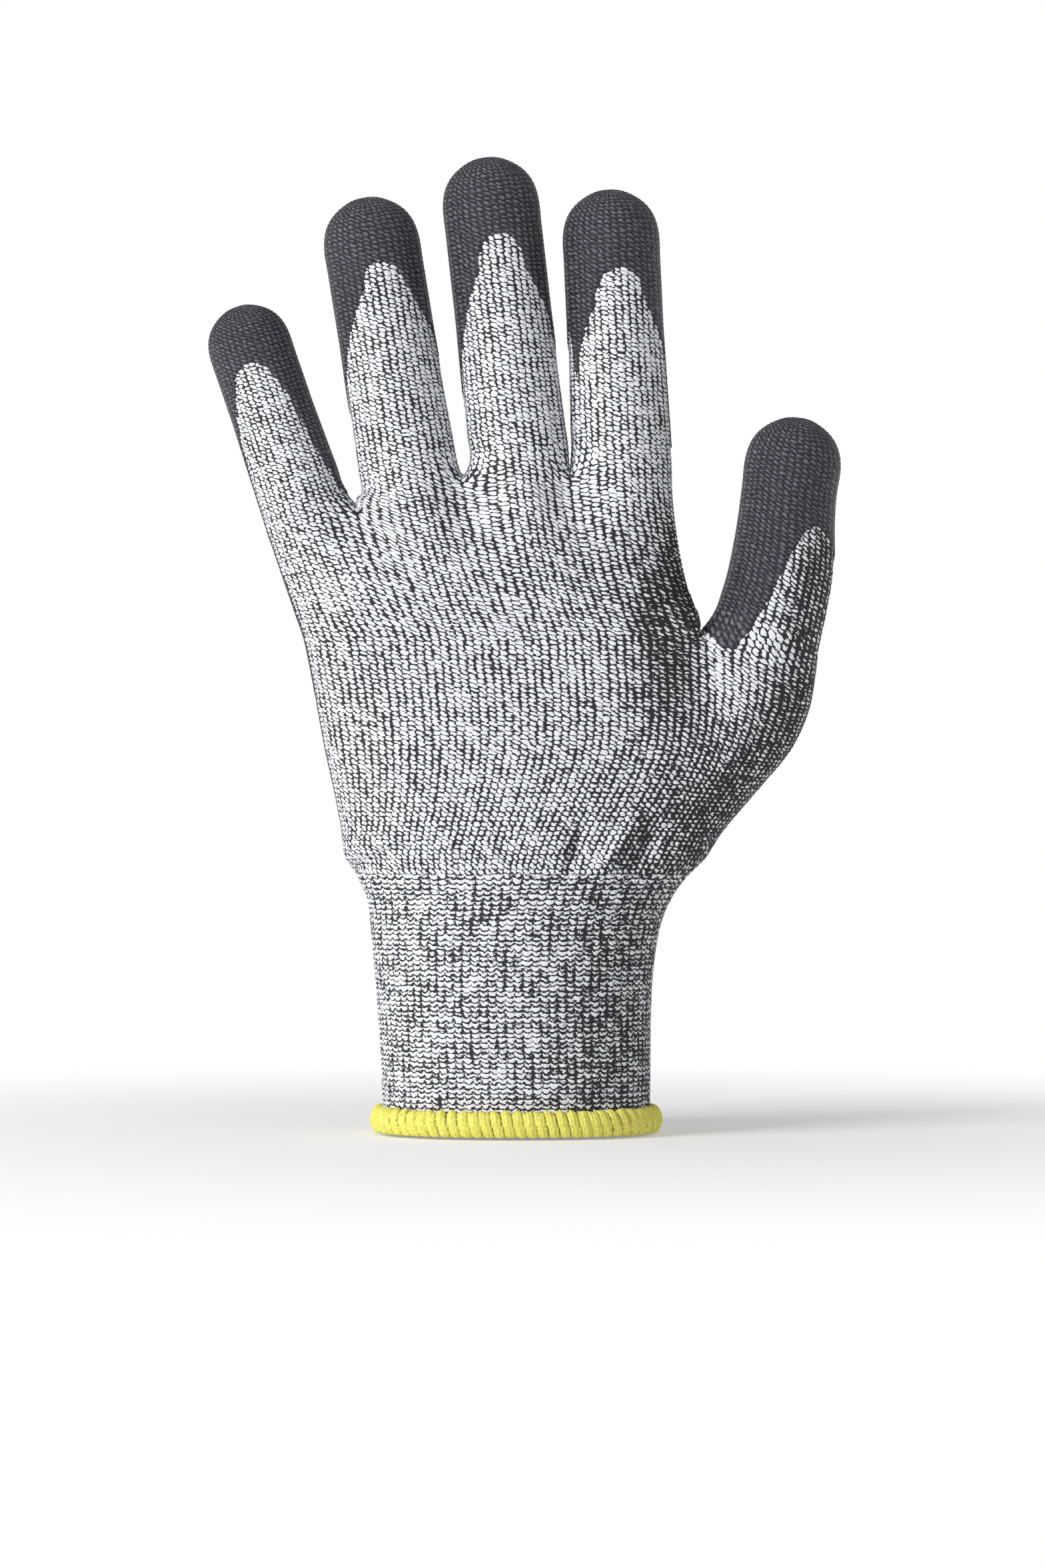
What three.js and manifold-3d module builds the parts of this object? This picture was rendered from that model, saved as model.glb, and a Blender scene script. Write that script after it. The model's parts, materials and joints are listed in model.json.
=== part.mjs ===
// Cut resistant work glove for the left hand: a seamless knitted liner with an
// elastic cuff, a dipped coating on palm and fingertips, and an overlocked hem.
// Millimetres, +Z from the cuff to the fingertips, the back of the hand faces -Y
// and the thumb is on the +X side. The origin is the centre of the cuff's mouth.

import * as THREE from 'three'
import Module from 'manifold-3d'

const wasm = await Module()
wasm.setup()

// Driving sizes of cuff and palm
const cuffHeight = 63 // from the hem's lower face to the wrist
const cuffWidth = 67
const cuffDepth = 48
const palmHeight = 100 // from the wrist to the web between middle finger and index
const palmEase = 10.2 // what the palm's width has over the widths of its four fingers
const palmDepth = 33
const palmLean = 1.2 // how far the fingers' middle plane lies towards the palm

// Driving sizes of the layers
const linerWall = 1.2
const coatWall = 0.6
const seat = 0.3 // clearance between two pieces that touch
const cutMargin = 1.5 // half the length of a flexing zone on its hinge line
const overrun = 12 // how far a cutting tool reaches past the glove
const through = palmDepth + overrun // from the middle of the glove to past either side

// Driving sizes of the hem: thread wrapped round the knitted edge
const hemHeight = 6.2
const hemFloor = 1.6
const hemProud = 2.9
const hemLining = 0.9
const hemFlat = 1.6 // how far the flat faces are drawn in from the hem's widest part
const hemRoundShare = 0.28 // height of the rounded shoulders
const liningShare = 0.8 // height of the thread inside the cuff

// Driving sizes of the elastic thread laid inside the cuff
const elasticCount = 5
const elasticThick = 0.7
const elasticStart = 12.5 // from the hem's lower face up to the first thread
const elasticEnd = 14.5 // from the wrist down to the last thread
const elasticPitch = (cuffHeight - elasticEnd - elasticStart) / (elasticCount - 1)
const elasticStep = 2 // the thread's polygon takes every second column of the cuff

// Lengths and widths of the fingers, from the web to the tip
const littleLength = 55.5
const ringLength = 71.4
const middleLength = 78.6
const indexLength = 68.2
const littleWidth = 19.4
const ringWidth = 21.9
const middleWidth = 22.3
const indexWidth = 22.2
const thumbLength = 50.5
const thumbWidth = 21.2
const fingerBend = 3.5 // how far a tip curls towards the palm at rest
const foldDepth = 5 // how far a finger's fold line lies under its palm side
const rootFold = 5.2 // from the web to the fold line at a finger's root
const fingerSpread = 0.7 // half the gap that two fingers keep at the web
const middlePlace = 1.8 // how far the middle finger stands towards the thumb
const ringGap = 4.7 // from the little finger's side to the ring finger's at their roots
const middleGap = 5.1 // from the ring finger's side to the middle finger's
const indexGap = 2.6 // from the middle finger's side to the index finger's
const palmWidth = littleWidth + ringWidth + middleWidth + indexWidth + palmEase
const shoulderDrop = 2.5 // how far below a web the back and palm reach between two fingers
const shoulderShare = 0.62 // how deep the back and palm lie there
const thickShare = 0.89 // thickness of a finger as a share of its width
const rootFullShare = 1.06 // how much wider a finger is at its root
const capAngles = [38, 68] // degrees up a fingertip's round end where its rings lie

// Each finger: the gap before it, its root's height as a share of the palm's, its lean in
// degrees, its fold lines as shares of its length, and its ranges in degrees
const fingerPlan = [
  {
    name: 'little', length: littleLength, width: littleWidth, gap: 0, lean: -19, foldLean: -9,
    rootShare: 0.877, foldShares: [0.395, 0.675], bends: [75, 85, 30],
  },
  {
    name: 'ring', length: ringLength, width: ringWidth, gap: ringGap, lean: -9.3, foldLean: -5.5,
    rootShare: 0.967, foldShares: [0.365, 0.665], bends: [75, 90, 45],
  },
  {
    name: 'middle', length: middleLength, width: middleWidth, gap: middleGap, lean: -6.45, foldLean: -4,
    rootShare: 0.988, foldShares: [0.36, 0.665], bends: [75, 90, 45],
  },
  {
    name: 'index', length: indexLength, width: indexWidth, gap: indexGap, lean: -2.6, foldLean: -1.5,
    rootShare: 1.006, foldShares: [0.365, 0.665], bends: [75, 90, 45],
  },
]
const rootStretch = 10 // degrees that a finger bends back at its root

// Heights of the webs between the fingers, as shares of palm height
const webShares = [0.914, 0.988, 1.001]

// Sections of the cuff from the hem up: height, left edge, right edge as shares of
// cuff height and cuff width, and depth as a share of cuff depth
const cuffShares = [
  [0.28, -0.505, 0.495, 0.99],
  [0.62, -0.522, 0.508, 0.985],
  [0.88, -0.542, 0.56, 0.95],
]
const cuffMouthShare = [-0.49, 0.49, 1]

// Sections of the palm from the wrist up: height as a share of palm height, left and
// right edge as shares of palm width, back and front as shares of palm depth, how far
// the wales have moved from even spacing to the fingers' places, and how much the
// palm's hollow and mounds show
const palmShares = [
  [0, -0.413, 0.452, -0.6, 0.65, 0, 0.2],
  [0.12, -0.444, 0.47, -0.575, 0.73, 0.1, 0.6],
  [0.24, -0.466, 0.466, -0.53, 0.77, 0.25, 0.9],
  [0.36, -0.484, 0.466, -0.5, 0.74, 0.4, 1],
  [0.48, -0.507, 0.464, -0.47, 0.66, 0.55, 0.8],
  [0.6, -0.534, 0.462, -0.45, 0.58, 0.7, 0.5],
  [0.727, -0.56, 0.436, -0.42, 0.52, 0.85, 0.3],
  [0.853, -0.59, 0.424, -0.385, 0.46, 1, 0.1],
]
const thumbRows = 5 // how many rows of the palm open into the thumb
const slantRows = 5 // from this row up, a row slants towards the webs
const slantShare = 1.06 // how fully the slanting rows follow the webs

// Where the palm's mounds and hollow stand, from the thumb's edge to the little finger's
const moundShares = [0.02, 0.1, 0.12, 0.02, -0.1, -0.14, -0.06, 0.04, 0.02]

// Sections of the thumb's root: outer point and inner point as shares of palm width
// and palm height, and middle and half depth as shares of palm depth
const thumbShares = [
  [0.5625, 0.143, 0.474, 0.593, 0.12, 0.55],
  [0.69, 0.283, 0.488, 0.605, 0.12, 0.5],
  [0.762, 0.43, 0.51, 0.643, 0.1, 0.44],
  [0.79, 0.59, 0.535, 0.703, 0.08, 0.39],
]
const thumbTubeShares = [
  [0.8125, 0.752, 0.566, 0.8, 0.08, 0.355],
  [0.82, 0.885, 0.585, 0.915, 0.1, 0.34],
]
const thumbTopShare = [0.715, 1.023] // centre of the thumb's round end
const thumbThickShare = 0.935 // thickness of the thumb as a share of its width
const thumbLean = 7.2
const thumbTurn = 37 // degrees that the thumb's back is turned away from the hand's
const thumbFoldShares = [0.02, 0.5] // fold lines, from the thumb's web up its length
const thumbBends = [40, 60]
const thumbSpanShare = 0.75 // half the width of a cut across the thumb, of its width
const swingShares = [[0.516, 0.09], [0.476, 0.602]] // the line that the thumb swings about
const swingDepth = 2.4 // how far that line lies towards the palm
const swingIn = 25
const swingOut = 8
const wristBend = 70
const wristStretch = 60
const wristSpanShare = 0.6 // half the width of the cut across the wrist, of the palm's

// The uncoated back of a finger: half widths as shares of the finger's width at shares
// of its length, from the web to the point of the arch
const archShares = {
  little: [[-0.2, -0.5, 0.42], [0.15, -0.42, 0.3], [0.4, -0.36, 0.24], [0.55, -0.28, 0.17]],
  ring: [[-0.3, -0.8, 0.8], [0.2, -0.8, 0.8], [0.31, -0.8, 0.46], [0.5, -0.44, 0.34]],
  middle: [[-0.3, -0.8, 0.8], [0.2, -0.8, 0.8], [0.42, -0.47, 0.46], [0.55, -0.36, 0.4]],
  index: [[-0.3, -0.8, 0.46], [0.04, -0.46, 0.46], [0.3, -0.38, 0.46], [0.5, -0.26, 0.4]],
}
const archTopShares = { little: [0.71, -0.02], ring: [0.75, 0.03], middle: [0.745, 0.04], index: [0.71, 0.09] }

// Small vector helpers
const vec = (x, y, z) => new THREE.Vector3(x, y, z)
const rad = THREE.MathUtils.degToRad
const mix = (a, b, t) => a + (b - a) * t
const mixVec = (a, b, t) => a.clone().lerp(b, t)
const place = (share) => vec(share[0] * palmWidth, 0, cuffHeight + share[1] * palmHeight)

// Columns round the hand: the back's, one on the thumb's side, the palm's, and one on
// the little finger's side. Each finger takes its share of the back's and the palm's.
const fingerColumns = 4
const backColumns = fingerColumns * fingerPlan.length + 1
const columns = 2 * backColumns + 2
const sideColumn = backColumns
const walesBack = 44
const walesSide = 5

// Angle of a column on an evenly knitted ring
function columnAngle(i) {
  const turn = (2 * Math.PI) / (2 * (walesBack + walesSide))
  const sideTurn = (walesSide / 2) * turn
  const stepTurn = (walesBack / (backColumns - 1)) * turn
  if (i === sideColumn) return 0
  if (i === columns - 1) return Math.PI
  if (i < sideColumn) return Math.PI + sideTurn + i * stepTurn
  return sideTurn + (i - sideColumn - 1) * stepTurn
}

const roundness = 0.86 // below 1, a section is fuller than an ellipse
const signedPower = (v) => Math.sign(v) * Math.pow(Math.abs(v), roundness)

// How far through a section that is one unit each way its outline lies, at a place across
const outlineLevel = (across) => Math.pow(1 - Math.pow(Math.abs(across), 2 / roundness), roundness / 2)

// Across and through places of a column on a section that is one unit each way
function evenPlace(i) {
  const a = columnAngle(i)
  return [signedPower(Math.cos(a)), signedPower(Math.sin(a))]
}

// The fingers stand side by side: each step is two half widths and the gap between them
const middleFinger = fingerPlan.findIndex((plan) => plan.name === 'middle')
function rootPlace(k) {
  const steps = fingerPlan.map((plan, j) => (j > 0 ? (fingerPlan[j - 1].width + plan.width) / 2 + plan.gap : 0))
  const upTo = (last) => steps.slice(0, last + 1).reduce((sum, step) => sum + step, 0)
  return middlePlace + upTo(k) - upTo(middleFinger)
}

// Fingers as frames: base point, direction, side and fold direction
function fingerFrame(plan, k) {
  const lean = rad(plan.lean)
  const base = vec(rootPlace(k), palmLean, cuffHeight + plan.rootShare * palmHeight)
  const along = vec(Math.sin(lean), 0, Math.cos(lean))
  const side = vec(Math.cos(lean), 0, -Math.sin(lean))
  return { ...plan, base, along, side, palm: vec(0, 1, 0) }
}
const fingers = fingerPlan.map(fingerFrame)

function fingerCentre(f, s) {
  const bend = fingerBend * Math.pow(Math.max(s, 0) / f.length, 2)
  return f.base.clone().addScaledVector(f.along, s).addScaledVector(f.palm, bend)
}

function fingerHalf(f, s) {
  const share = Math.min(Math.max(s / f.length, 0), 1)
  return (f.width / 2) * mix(rootFullShare, 1, Math.min(share * 2, 1))
}

// The web between finger k and the next: midway between their facing sides at its height
function webPoint(k) {
  const height = cuffHeight + webShares[k] * palmHeight
  const sideAt = (f, toward) => {
    const edge = f.base.clone().addScaledVector(f.side, (toward * f.width) / 2)
    return edge.x + ((height - edge.z) * f.along.x) / f.along.z
  }
  return vec((sideAt(fingers[k], 1) + sideAt(fingers[k + 1], -1)) / 2, palmLean, height)
}

// A ring of points round a finger: starts on the back at the web towards the little
// finger, and runs over the back, the thumb's side, the palm and the other side
const ringCount = 2 * fingerColumns + 4
function fingerRing(f, s, scale) {
  const centre = fingerCentre(f, s)
  const half = fingerHalf(f, s) * scale
  const ring = []
  for (let k = 0; k < ringCount; k++) {
    const a = Math.PI + ((k + 1) * 2 * Math.PI) / ringCount
    const point = centre.clone().addScaledVector(f.side, half * Math.cos(a))
    ring.push(point.addScaledVector(f.palm, half * thickShare * Math.sin(a)))
  }
  return ring
}

// The glove's outer surface as a cage of points and faces
const points = []
const faces = []

function addPoint(p) {
  points.push(p)
  return points.length - 1
}

function bridge(lower, upper, skip) {
  const n = lower.length
  for (let i = 0; i < n; i++) {
    const j = (i + 1) % n
    if (skip && skip(i)) continue
    faces.push([lower[i], lower[j], upper[j], upper[i]])
  }
}

function closeRing(ring, tip) {
  const pole = addPoint(tip)
  for (let i = 0; i < ring.length; i++) faces.push([ring[i], ring[(i + 1) % ring.length], pole])
}

function cuffRow(height, left, right, depth) {
  const row = []
  for (let i = 0; i < columns; i++) {
    const [u, v] = evenPlace(i)
    const x = mix(left, right, (u + 1) / 2)
    row.push(addPoint(vec(x, (v * depth) / 2, height)))
  }
  return row
}

// The row at the webs: fingers' middles, webs' shoulders and the two outer edges
function knucklePoint(i) {
  const front = i > sideColumn
  if (i === sideColumn) return fingerRing(fingers[fingers.length - 1], 0, 1)[fingerColumns + 1]
  if (i === columns - 1) return fingerRing(fingers[0], 0, 1)[ringCount - 1]
  const c = front ? 2 * backColumns - i : i
  const owner = Math.min(Math.floor(c / fingerColumns), fingers.length - 1)
  const f = fingers[owner]
  const local = c - owner * fingerColumns
  const inside = c > 0 && c < backColumns - 1
  if (local > 0 || !inside) return fingerRing(f, 0, 1)[front ? ringCount - 2 - local : local]
  const depth = (front ? 1 : -1) * fingerHalf(f, 0) * thickShare * shoulderShare
  return webPoint(owner - 1).add(vec(0, depth, -shoulderDrop))
}

// Height of the mounds and the hollow at a column of the palm, counted from the thumb
function moundShare(column) {
  const stop = (column * (moundShares.length - 1)) / (backColumns - 1)
  const k = Math.min(Math.floor(stop), moundShares.length - 2)
  return mix(moundShares[k], moundShares[k + 1], stop - k)
}

function palmRow(j) {
  const [height, left, right, back, front, sorted, mound] = palmShares[j]
  const row = []
  for (let i = 0; i < columns; i++) {
    const [u, v] = evenPlace(i)
    const target = knucklePoint(i)
    const lastRow = palmShares[palmShares.length - 1]
    const targetU = (target.x / palmWidth - lastRow[1]) / (lastRow[2] - lastRow[1])
    const across = mix((u + 1) / 2, THREE.MathUtils.clamp(targetU, 0, 1), sorted)
    const x = mix(left, right, across) * palmWidth
    const edge = i === sideColumn || i === columns - 1
    const level = edge ? 0 : outlineLevel(2 * across - 1)
    const bump = i > sideColumn && !edge ? moundShare(i - sideColumn - 1) * mound : 0
    const y = (v < 0 ? back : front * (1 + bump)) * level * palmDepth
    row.push(vec(x, y, cuffHeight + height * palmHeight))
  }
  return row
}

// Rows above the thumb's web slant so that they reach the webs of the fingers
function slant(row, j) {
  const base = palmShares[slantRows][0]
  const share = (palmShares[j][0] - base) / (1 - base)
  const floor = cuffHeight + base * palmHeight
  return row.map((p, i) => p.setZ(mix(floor, knucklePoint(i).z, share * slantShare)))
}

function buildPalm() {
  const rows = []
  const mouth = hemFloor + seat
  const [left, right, depth] = cuffMouthShare
  rows.push(cuffRow(mouth, left * cuffWidth, right * cuffWidth, depth * cuffDepth))
  for (const [h, l, r, d] of cuffShares) {
    rows.push(cuffRow(h * cuffHeight, l * cuffWidth, r * cuffWidth, d * cuffDepth))
  }
  palmShares.forEach((_, j) => {
    const row = j > slantRows ? slant(palmRow(j), j) : palmRow(j)
    rows.push(row.map(addPoint))
  })
  const knuckles = []
  for (let i = 0; i < columns; i++) knuckles.push(addPoint(knucklePoint(i)))
  rows.push(knuckles)
  const wrist = cuffShares.length + 1
  for (let j = 0; j + 1 < rows.length; j++) {
    const open = j >= wrist && j < wrist + thumbRows
    bridge(rows[j], rows[j + 1], open ? (i) => i === sideColumn - 1 || i === sideColumn : null)
  }
  return { rows, wrist, knuckles }
}

// Rings along a finger: heights, and how much of the full section each has
function capRings(length, radius) {
  const centre = length - radius
  const rings = capAngles.map((a) => [centre + radius * Math.sin(rad(a)), Math.cos(rad(a))])
  return [[centre, 1], ...rings]
}

function buildFinger(f, k, knuckles, webs) {
  const first = fingerColumns * k
  const back = knuckles.slice(first, first + fingerColumns + 1)
  const frontEnd = 2 * backColumns - first
  const front = knuckles.slice(frontEnd - fingerColumns, frontEnd + 1)
  const right = k < webs.length ? webs[k] : knuckles[sideColumn]
  const left = k > 0 ? webs[k - 1] : knuckles[columns - 1]
  let ring = [...back, right, ...front, left]
  const radius = f.width / 2
  const firstRise = f.width / 3
  const middleRise = (firstRise + f.length - radius) / 2
  const stops = [[firstRise, 1], [middleRise, 1], ...capRings(f.length, radius)]
  for (const [s, scale] of stops) {
    const next = fingerRing(f, s, scale).map(addPoint)
    bridge(ring, next)
    ring = next
  }
  closeRing(ring, fingerCentre(f, f.length))
}

// The thumb grows from the rows that stay open on the palm's side
const thumbAlong = vec(Math.sin(rad(thumbLean)), 0, Math.cos(rad(thumbLean)))
const thumbSide = vec(thumbAlong.z, 0, -thumbAlong.x)
const thumbTop = place(thumbTopShare).setY(palmLean)

function thumbSection(outer, inner, middle, halfDepth, count) {
  const centre = mixVec(outer, inner, 0.5).setY(middle)
  const across = inner.clone().sub(outer).multiplyScalar(0.5)
  const ring = []
  for (let k = 0; k < count; k++) {
    const a = (2 * Math.PI * k) / count
    const point = centre.clone().addScaledVector(across, -Math.cos(a))
    ring.push(point.add(vec(0, halfDepth * Math.sin(a), 0)))
  }
  return ring
}

function thumbCapSection(rise, scale, count) {
  const half = (thumbWidth / 2) * scale
  const centre = thumbTop.clone().addScaledVector(thumbAlong, rise)
  const outer = centre.clone().addScaledVector(thumbSide, half)
  const inner = centre.clone().addScaledVector(thumbSide, -half)
  return thumbSection(outer, inner, thumbTop.y, half * thumbThickShare, count)
}

function buildThumb(rows, wrist) {
  const low = wrist
  const high = wrist + thumbRows
  const ring = [rows[low][sideColumn]]
  for (let j = low; j <= high; j++) ring.push(rows[j][sideColumn + 1])
  ring.push(rows[high][sideColumn])
  for (let j = high; j >= low; j--) ring.push(rows[j][sideColumn - 1])
  let last = ring
  const sections = [...thumbShares, ...thumbTubeShares].map(([ox, oz, ix, iz, mid, half]) =>
    thumbSection(place([ox, oz]), place([ix, iz]), mid * palmDepth, half * palmDepth, ring.length))
  const radius = thumbWidth / 2
  for (const [s, scale] of capRings(radius, radius)) sections.push(thumbCapSection(s, scale, ring.length))
  for (const section of sections) {
    const next = section.map(addPoint)
    bridge(last, next)
    last = next
  }
  closeRing(last, thumbTop.clone().addScaledVector(thumbAlong, radius))
}

// Outward directions at the points, from the faces round each
function vertexNormals() {
  const out = points.map(() => vec(0, 0, 0))
  for (const face of faces) {
    const last = face[face.length - 1]
    const across = points[face[2]].clone().sub(points[face[0]])
    const down = points[last].clone().sub(points[face[1]])
    const n = across.cross(down)
    for (const v of face) out[v].add(n)
  }
  return out.map((n) => n.normalize())
}

const palm = buildPalm()
const webs = webShares.map((_, k) => addPoint(webPoint(k)))
fingers.forEach((f, k) => buildFinger(f, k, palm.knuckles, webs))
buildThumb(palm.rows, palm.wrist)
const normals = vertexNormals()

// The open edge at the cuff's mouth, as pairs of neighbouring points
function rimEdges(quads) {
  const seen = new Map()
  for (const face of quads) {
    face.forEach((a, k) => {
      const b = face[(k + 1) % face.length]
      if (seen.has(`${b}_${a}`)) seen.delete(`${b}_${a}`)
      else seen.set(`${a}_${b}`, [a, b])
    })
  }
  return [...seen.values()]
}

function toSolid(verts, tris) {
  const vertProperties = new Float32Array(verts.flatMap((p) => [p.x, p.y, p.z]))
  const triVerts = new Uint32Array(tris.flat())
  return new wasm.Manifold(new wasm.Mesh({ numProp: 3, vertProperties, triVerts }))
}

// Two triangles of a face, along its shorter diagonal
function triangles(face) {
  if (face.length === 3) return [face]
  const [a, b, c, d] = face
  const first = points[a].distanceTo(points[c])
  const second = points[b].distanceTo(points[d])
  return first < second ? [[a, b, c], [a, c, d]] : [[a, b, d], [b, c, d]]
}

// A closed wall between two distances from the glove's surface
function wall(inside, outside) {
  const count = points.length
  const edges = rimEdges(faces)
  const rim = new Set(edges.flat())
  const at = (d) => points.map((p, v) => {
    const moved = p.clone().addScaledVector(normals[v], d)
    return rim.has(v) ? moved.setZ(p.z) : moved
  })
  const outer = faces.flatMap(triangles)
  const inner = outer.map(([a, b, c]) => [a + count, c + count, b + count])
  const edge = edges.flatMap(([a, b]) => [[b, a, a + count], [b, a + count, b + count]])
  return toSolid([...at(outside), ...at(inside)], [...outer, ...inner, ...edge])
}

// A prism over an outline: the outline's axes are u and v, and it runs along w
function prism(outline, origin, u, v, w, from, to) {
  const shape = outline.map(([a, b]) => new THREE.Vector2(a, b))
  const flip = THREE.ShapeUtils.area(shape) < 0
  if (flip) shape.reverse()
  const caps = THREE.ShapeUtils.triangulateShape(shape, [])
  const at = (p, d) => origin.clone().addScaledVector(u, p.x).addScaledVector(v, p.y).addScaledVector(w, d)
  const verts = [...shape.map((p) => at(p, from)), ...shape.map((p) => at(p, to))]
  const n = shape.length
  const tris = caps.flatMap(([a, b, c]) => [[c, b, a], [a + n, b + n, c + n]])
  for (let i = 0; i < n; i++) {
    const j = (i + 1) % n
    tris.push([i, j, j + n], [i, j + n, i + n])
  }
  const rightHanded = u.clone().cross(v).dot(w) > 0
  return toSolid(verts, rightHanded ? tris : tris.map(([a, b, c]) => [a, c, b]))
}

// A fold: where it is, its hinge direction, the way along the finger and the way that
// the inside of the fold faces, its angles on each side, and half its length
function fold(point, hinge, along, inside, bend, stretch, half) {
  return { point, hinge, along, inside, bend, stretch, half }
}

// The zone that flexes: widest on the inside of the fold, grown by a clearance
function foldZone(f, grow) {
  const inner = Math.tan(rad(f.bend / 2))
  const outer = Math.tan(rad(f.stretch / 2))
  const waist = cutMargin + grow
  const outline = [
    [-waist - through * outer, -through],
    [waist + through * outer, -through],
    [waist, 0],
    [waist + through * inner, through],
    [-waist - through * inner, through],
    [-waist, 0],
  ]
  return prism(outline, f.point, f.along, f.inside, f.hinge, -f.half - grow, f.half + grow)
}

// The half of space beyond a fold, as a box as wide as the fold
function beyond(f, length, half) {
  const outline = [[0, -through], [length, -through], [length, through], [0, through]]
  return prism(outline, f.point, f.along, f.inside, f.hinge, -half, half)
}

// The folds of a finger: at its root and at its two knuckles
const coatOut = seat + coatWall
const foldWidth = (f) => fingerHalf(f, 0) + coatOut / 2 + fingerSpread / 2

function fingerFolds(f) {
  const stops = [rootFold, ...f.foldShares.map((share) => share * f.length)]
  return stops.map((s, k) => {
    const drop = fingerHalf(f, s) * thickShare - foldDepth
    const point = fingerCentre(f, s).addScaledVector(f.palm, drop)
    const lean = rad(k === 0 ? f.foldLean : f.lean)
    const hinge = vec(Math.cos(lean), 0, -Math.sin(lean))
    const along = vec(Math.sin(lean), 0, Math.cos(lean))
    return fold(point, hinge, along, f.palm, f.bends[k], k === 0 ? rootStretch : 0, foldWidth(f))
  })
}

// The thumb's folds: two across it, and the line beside the palm that it swings about
const thumbTurned = rad(thumbTurn)
const thumbBack = vec(Math.sin(thumbTurned), -Math.cos(thumbTurned), 0)
const thumbInside = thumbBack.clone().negate()
thumbInside.addScaledVector(thumbAlong, -thumbInside.dot(thumbAlong)).normalize()
const thumbHinge = thumbInside.clone().cross(thumbAlong).normalize()
const thumbBase = thumbTop.clone().addScaledVector(thumbAlong, thumbWidth / 2 - thumbLength)

function thumbFolds() {
  return thumbFoldShares.map((share, k) => {
    const drop = (thumbWidth / 2) * thumbThickShare - foldDepth
    const point = thumbBase.clone().addScaledVector(thumbAlong, share * thumbLength)
    point.addScaledVector(thumbInside, drop)
    return fold(point, thumbHinge, thumbAlong, thumbInside, thumbBends[k], 0, thumbWidth * thumbSpanShare)
  })
}

const swingLow = place(swingShares[0]).setY(swingDepth)
const swingHigh = place(swingShares[1]).setY(swingDepth)
const swingAxis = swingHigh.clone().sub(swingLow).normalize()
const swingOutward = vec(swingAxis.z, 0, -swingAxis.x)
const swingMiddle = mixVec(swingLow, swingHigh, 0.5)
const swingHalf = swingHigh.distanceTo(swingLow) / 2 + cutMargin
const swing = fold(swingMiddle, swingAxis, swingOutward, vec(0, 1, 0), swingIn, swingOut, swingHalf)

const wristPoint = vec(0, 0, cuffHeight)
const wristHalf = palmWidth * wristSpanShare
const wrist = fold(wristPoint, vec(1, 0, 0), vec(0, 0, 1), vec(0, 1, 0), wristBend, wristStretch, wristHalf)

// The uncoated region: a prism on the back of each finger, the thumb and the palm
function fingerBare(f) {
  const rows = archShares[f.name]
  const top = archTopShares[f.name]
  const point = (share, side) => [side * f.width, share * f.length]
  const left = rows.map(([share, l]) => point(share, l))
  const right = rows.map(([share, , r]) => point(share, r)).reverse()
  const outline = [...left, point(top[0], top[1]), ...right]
  const origin = f.base.clone().addScaledVector(f.palm, fingerBend / 3)
  return prism(outline, origin, f.side, f.along, f.palm, -through, 0)
}

// Outline of the palm's bare back, as shares of palm width and height
const palmBareShares = [
  [-0.62, 0.05], [-0.62, 0.47], [-0.535, 0.55], [-0.63, 0.88], [-0.5, 0.935], [-0.4, 0.96],
  [-0.25, 1], [0, 1.02], [0.27, 1.02], [0.4, 1.0], [0.415, 0.8], [0.5, 0.64], [0.44, 0.6],
  [0.6, 0.62], [0.9, 0.62], [0.9, 0.05],
]
const thumbBareShares = [
  [0.5, 0.1], [0.5, 0.55], [0.56, 0.6], [0.625, 0.7], [0.69, 0.8], [0.77, 0.858],
  [0.82, 0.8], [0.86, 0.72], [0.95, 0.6], [0.95, 0.1],
]
const backOut = vec(0, -1, 0)
const acrossOut = vec(1, 0, 0)
const upOut = vec(0, 0, 1)

function bareRegion() {
  const outline = palmBareShares.map((share) => [share[0] * palmWidth, share[1] * palmHeight])
  const start = vec(0, palmLean, cuffHeight)
  let bare = prism(outline, start, acrossOut, upOut, backOut, 0, through)
  const thumbOutline = thumbBareShares.map((share) => [share[0] * palmWidth, share[1] * palmHeight])
  bare = bare.add(prism(thumbOutline, start, acrossOut, upOut, backOut, -thumbWidth / 6, through))
  for (const f of fingers) bare = bare.add(fingerBare(f))
  return bare
}

// Everything below the coating's lower edge
const coatEdgeShare = 0.035
const coatEdge = cuffHeight + palmHeight * coatEdgeShare
function belowCoat() {
  const wide = palmWidth
  const outline = [[-wide, -overrun], [wide, -overrun], [wide, coatEdge], [-wide, coatEdge]]
  return prism(outline, vec(0, 0, 0), acrossOut, upOut, backOut, -wide, wide)
}

// Keeps the largest closed body of a cut, without the crumbs beside it
function largestBody(solid) {
  const { vertProperties, triVerts, numProp } = solid.getMesh()
  const parent = Array.from({ length: vertProperties.length / numProp }, (_, i) => i)
  const find = (i) => {
    while (parent[i] !== i) {
      parent[i] = parent[parent[i]]
      i = parent[i]
    }
    return i
  }
  for (let t = 0; t < triVerts.length; t += 3) {
    parent[find(triVerts[t + 1])] = find(triVerts[t])
    parent[find(triVerts[t + 2])] = find(triVerts[t])
  }
  const volumes = new Map()
  const at = (v) => new THREE.Vector3().fromArray(vertProperties, v * numProp)
  for (let t = 0; t < triVerts.length; t += 3) {
    const group = find(triVerts[t])
    const volume = at(triVerts[t]).dot(at(triVerts[t + 1]).cross(at(triVerts[t + 2]))) / 6
    volumes.set(group, (volumes.get(group) ?? 0) + volume)
  }
  const largest = [...volumes.entries()].sort((a, b) => b[1] - a[1])[0][0]
  const index = []
  for (let t = 0; t < triVerts.length; t += 3) {
    if (find(triVerts[t]) === largest) index.push(triVerts[t], triVerts[t + 1], triVerts[t + 2])
  }
  return { vertProperties, numProp, index }
}

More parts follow.
